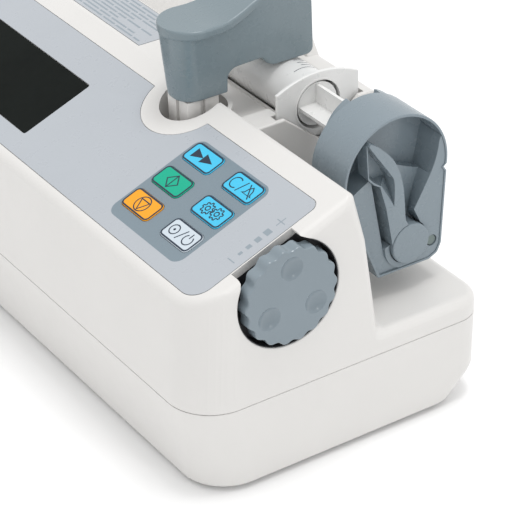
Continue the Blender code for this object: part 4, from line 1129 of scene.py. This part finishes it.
def build_lever():
    hub = arc(PIVOT, 9.2, 70, -188, 60)
    left = [(52.3, 76.0), (47.4, 104.3), (44.2, 106.3), (41.2, 109.8), (40.3, 125.6)]
    right = smooth_line(
        [
            (41.0, 127.2), (45.6, 124.2), (52.4, 116.8), (56.1, 109.0), (57.8, 102.0), (58.6, 94.0),
            (59.2, 86.0), (61.0, 82.4),
        ],
        6,
    )
    top = HEAD_REAR + 1.5
    blade = plate("X", left + right + hub, HEAD_REAR - 7.5, top)
    lever = piece("lever_blade", blade, "grey_plastic", "lever", ["release_lever"])
    inner = smooth_line(
        [(53.2, 94.3), (53.2, 105.5), (50.7, 110.8), (44.1, 120.6), (39.9, 127.0), (37.0, 132.0)], 6
    )
    step, notch = [], []
    for y, z in inner:
        floor = top - 0.05 - 1.95 * min(1.0, max(0.0, (z - 94.3) / 9.0))
        step.append([(floor, 30.0, z), (floor, y, z), (0.0, y, z), (0.0, 30.0, z)])
        if z > 108.0:
            continue
        share = min(1.0, (z - 94.3) / 11.2)
        start = y - 0.1 - 5.8 * share
        notch.append(
            [(floor + 0.1, start, z), (floor - 0.2 - 5.2 * share, y, z), (0.0, y, z), (0.0, start, z)]
        )
    deep = [
        (41.2, 123.6), (42.0, 111.5), (44.5, 108.8), (47.5, 106.3), (52.8, 106.0), (50.7, 110.8),
        (44.4, 120.0),
    ]
    wide = [
        (40.9, 125.4), (41.7, 110.2), (44.5, 107.1), (47.4, 105.0), (53.1, 105.6), (50.7, 110.8),
        (44.1, 120.6),
    ]
    levels = ((HEAD_REAR - 6.0, deep), (HEAD_REAR - 0.5, wide), (HEAD_REAR + 5.0, wide))
    cut(lever, loft(step), loft(notch), stacked(levels), solver="EXACT")
    cut(
        lever,
        rod("X", PIVOT, 9.8, HEAD_REAR - 1.2, HEAD_REAR + 4, 96),
        rod("X", PIVOT, ROD_RADIUS + GAP, HEAD_REAR - 12, HEAD_REAR + 4, 32),
        solver="EXACT",
    )
    finished(lever, 0.3, 25.0)
    edge = [(HEAD_REAR + 1.1 + 0.7 * math.sin(a), 8.7 + 0.7 * math.cos(a)) for a in quarter(5)]
    cap = [(HEAD_REAR - 0.9, 0), (HEAD_REAR - 0.9, 9.4), *edge, (HEAD_REAR + 1.8, 0)]
    finished(
        piece("pivot_disc", turned("X", PIVOT, cap, 96), "grey_plastic", "lever", ["pivot_cap"]),
        angle=40.0,
    )


def build_jaws():
    back = HEAD_FRONT - GAP
    for name, side in (("jaw_front", -1), ("jaw_rear", 1)):
        outer = arc(SYRINGE_AXIS, 19.5, 270 + side * 25, 270 + side * 158, 40)
        inner = arc(SYRINGE_AXIS, 15.2, 270 + side * 156, 270 + side * 30, 40)
        claw = plate("X", outer + inner, back - 6.2, back, 0.4)
        jaw = piece(f"{name}_claw", claw, "grey_plastic", name, [name])
        lip = arc(SYRINGE_AXIS, 17.0, 270 + side * 100, 270 + side * 140, 16)
        lip += arc(SYRINGE_AXIS, 12.8, 270 + side * 140, 270 + side * 100, 16)
        add(jaw, plate("X", lip, back - 7.4, back - 5.8), solver="EXACT")
        finished(jaw, 0.2, 30.0)


# Drive parts that show


def build_drive():
    tube = [
        (HEAD_FRONT - GAP, ROD_RADIUS + 1.6),
        (HEAD_FRONT - GAP, TUBE_RADIUS),
        (-206.0, TUBE_RADIUS),
        (-206.0, ROD_RADIUS + 1.6),
    ]
    finished(piece("slide_tube", turned("X", PIVOT, tube), "steel", "pusher", ["drive_tube"]))
    front = CRADLE_END - 0.4
    seal = [
        (CRADLE_END - 3.0, 8.4), (CRADLE_END - 3.0, 11.0), (front - 0.4, 11.0), (front, 10.6),
        (front, 9.2), (front - 0.7, 8.4),
    ]
    finished(piece("seal_ring", turned("X", PIVOT, seal), "rubber", "case", ["tube_seal"]), angle=50.0)


# Syringe


def flange_outline():
    half = 21.4
    steps = 14
    top = [
        (SYRINGE_Y + half * s / steps, SYRINGE_Z + 15.4 - 5.4 * (s / steps) ** 2)
        for s in range(steps, -steps - 1, -1)
    ]
    bottom = [(y, 2 * SYRINGE_Z - z) for y, z in top[::-1]]
    return top + bottom


def build_syringe():
    middle = SYRINGE_AXIS
    end = -182.0
    shoulder = [
        (end + 2.0 - 2.0 * math.sin(a), BARREL_RADIUS - 2.0 + 2.0 * math.cos(a)) for a in quarter(5)
    ]
    profile = [
        (FLANGE_X + 1.0, BARREL_BORE), (FLANGE_X + 1.0, BARREL_RADIUS), *shoulder, (end, 2.4),
        (end - 11.6, 2.0), (end - 12.0, 1.6), (end - 12.0, 1.1), (end + 1.8, 1.1),
        (end + 1.8, BARREL_BORE),
    ]
    barrel = piece(
        "barrel", turned("X", middle, profile, 96), "clear_plastic", "case", ["syringe_barrel"]
    )
    add(barrel, plate("X", flange_outline(), FLANGE_X - 1.0, FLANGE_X + 0.8, 0.5, 3))
    cut(barrel, rod("X", middle, BARREL_BORE + 0.2, FLANGE_X - 3.0, FLANGE_X + 2.0, 96))
    finished(barrel, angle=35.0)
    marks = []
    for i in range(31):
        x = -178.0 + i * 2.75
        width = 26 if i % 5 else 52
        rings = []
        for along in (x - 0.15, x + 0.15):
            low = arc(SYRINGE_AXIS, BARREL_RADIUS + 0.05, 58, 58 + width, 8)
            high = arc(SYRINGE_AXIS, BARREL_RADIUS + 0.09, 58, 58 + width, 8)
            rings.append([(along, y, z) for y, z in high + low[::-1]])
        marks.append(loft(rings))
    printed("barrel_scale_print", joined(*marks), "ink")
    stopper = [
        (-154.0, 0), (-152.6, 10.2), (-152.0, 10.75), (-151.2, 10.9), (-150.6, 10.3), (-148.2, 10.3),
        (-147.6, 10.9), (-146.0, 10.9), (-145.4, 10.4), (-145.0, 9.6), (-145.0, 0),
    ]
    finished(
        piece("stopper", turned("X", middle, stopper, 72), "rubber", "pusher", ["plunger_stopper"]),
        angle=50.0,
    )
    reach, thick = 9.6, 0.75
    fin = [(reach, -thick), (reach, thick), (thick, thick)]
    cross = []
    for i in range(4):
        turn = Matrix.Rotation(i * math.pi / 2, 2)
        cross += [tuple(Vector(middle) + turn @ Vector(point)) for point in fin]
    plunger = piece(
        "plunger", plate("X", cross, -144.7, -50.5), "clear_plastic", "pusher", ["syringe_plunger"]
    )
    rim = [
        (-51.6, 0), (-51.6, 13.5), (-51.2, 13.95), (-50.5, 14.1), (-49.8, 13.95), (-49.4, 13.5),
        (-49.4, 0),
    ]
    discs = [
        turned("X", middle, [(x - 0.6, 0), (x - 0.6, 10.2), (x + 0.6, 10.2), (x + 0.6, 0)], 48)
        for x in (-142.5, -114.0, FLANGE_X - 0.6)
    ]
    add(plunger, turned("X", middle, rim, 72), *discs)
    finished(plunger, angle=35.0)


# CAD nodes that stay


STAYING = {
    "circuit_board": ("key_board", "main_board"),
    "dark_plastic": ("battery_pack", "display_module", "knob_encoder", "speaker", "stepper_motor"),
    "white_plastic": ("clamp_post",),
    "steel": (
        "knob_shaft", "clamp_shaft", "clamp_bracket", "clamp_spring", "release_rod", "guide_rod",
        "lead_screw", "bearing_left", "bearing_right", "motor_shaft",
    ),
    "aluminium": ("carriage", "drive_chassis"),
    "brass": ("half_nut", "screw_gear", "motor_pinion"),
}


def dress_cad_nodes():
    for look, nodes in STAYING.items():
        for name in nodes:
            obj = frame["nodes"][name]
            obj.data.materials.clear()
            obj.data.materials.append(LOOKS[look])
            weld = obj.modifiers.new("weld", "WELD")
            weld.merge_threshold = WELD_METRES
            bevel_modifier(obj, CAD_EDGE, 40)
            obj.data.shade_smooth()
            split = obj.modifiers.new("split", "EDGE_SPLIT")
            split.split_angle = math.radians(CAD_SPLIT)


# Studio, in metres


SKY_STRENGTH = 0.92
FLOOR_HALF = 3.0
FLOOR_WHITE = (0.97, 0.97, 0.97)
LIGHT_TARGET = (0.1, 0.0, 0.08)
LIGHTS = (
    ("top_light", (0.2, 0.2, 1.9), 0.6, 11.5),
    ("front_light", (-0.3, -0.9, 1.8), 0.3, 0.5),
    ("side_light", (1.8, 0.35, 0.95), 0.12, 1.5),
)
CAMERA_LENS = 162.07
CAMERA_PLACE = (0.8238, -0.47055, 0.5957)
CAMERA_RIGHT = Vector((0.5542, 0.8321, -0.0226))
CAMERA_UP = Vector((-0.4256, 0.3065, 0.8514))


def soft_light(name, position, size, power):
    data = bpy.data.lights.new(name, "AREA")
    data.shape = "DISK"
    data.size = size
    data.energy = power
    obj = linked(name, data)
    obj.location = position
    aim = Vector(LIGHT_TARGET) - Vector(position)
    obj.rotation_euler = aim.to_track_quat("-Z", "Y").to_euler()


def build_studio():
    world = bpy.data.worlds.new("studio")
    world.use_nodes = True
    sky = world.node_tree.nodes["Background"]
    sky.inputs["Color"].default_value = (1.0, 1.0, 1.0, 1.0)
    sky.inputs["Strength"].default_value = SKY_STRENGTH
    bpy.context.scene.world = world
    bpy.context.scene.view_settings.view_transform = "Standard"
    bm = bmesh.new()
    bmesh.ops.create_grid(bm, x_segments=8, y_segments=8, size=FLOOR_HALF)
    mesh = bpy.data.meshes.new("floor")
    bm.to_mesh(mesh)
    bm.free()
    made, tree, shader = base_material("floor", FLOOR_WHITE, 0.6)
    two_tone(tree, shader, noise(tree, 3.0, 3.0), FLOOR_WHITE, 0.004)
    mesh.materials.append(made)
    linked("floor", mesh)
    for name, position, size, power in LIGHTS:
        soft_light(name, position, size, power)


def build_camera():
    data = bpy.data.cameras.new("camera")
    data.sensor_width = 36.0
    data.lens = CAMERA_LENS
    data.clip_start = 0.05
    data.clip_end = 20.0
    camera = linked("camera", data)
    back = CAMERA_RIGHT.cross(CAMERA_UP)
    turn = Matrix((CAMERA_RIGHT, CAMERA_UP, back)).transposed()
    camera.matrix_world = Matrix.Translation(CAMERA_PLACE) @ turn.to_4x4()
    bpy.context.scene.camera = camera


for obj in list(bpy.data.objects):
    if obj.name in ("Cube", "Camera", "Light"):
        bpy.data.objects.remove(obj)
make_materials()
build_camera()
build_studio()
build_upper_case()
build_lower_case()
build_base_parts()
build_panel()
build_keys()
build_instruction_plate()
build_knob()
build_clamp()
build_head()
build_lever()
build_jaws()
build_drive()
build_syringe()
dress_cad_nodes()
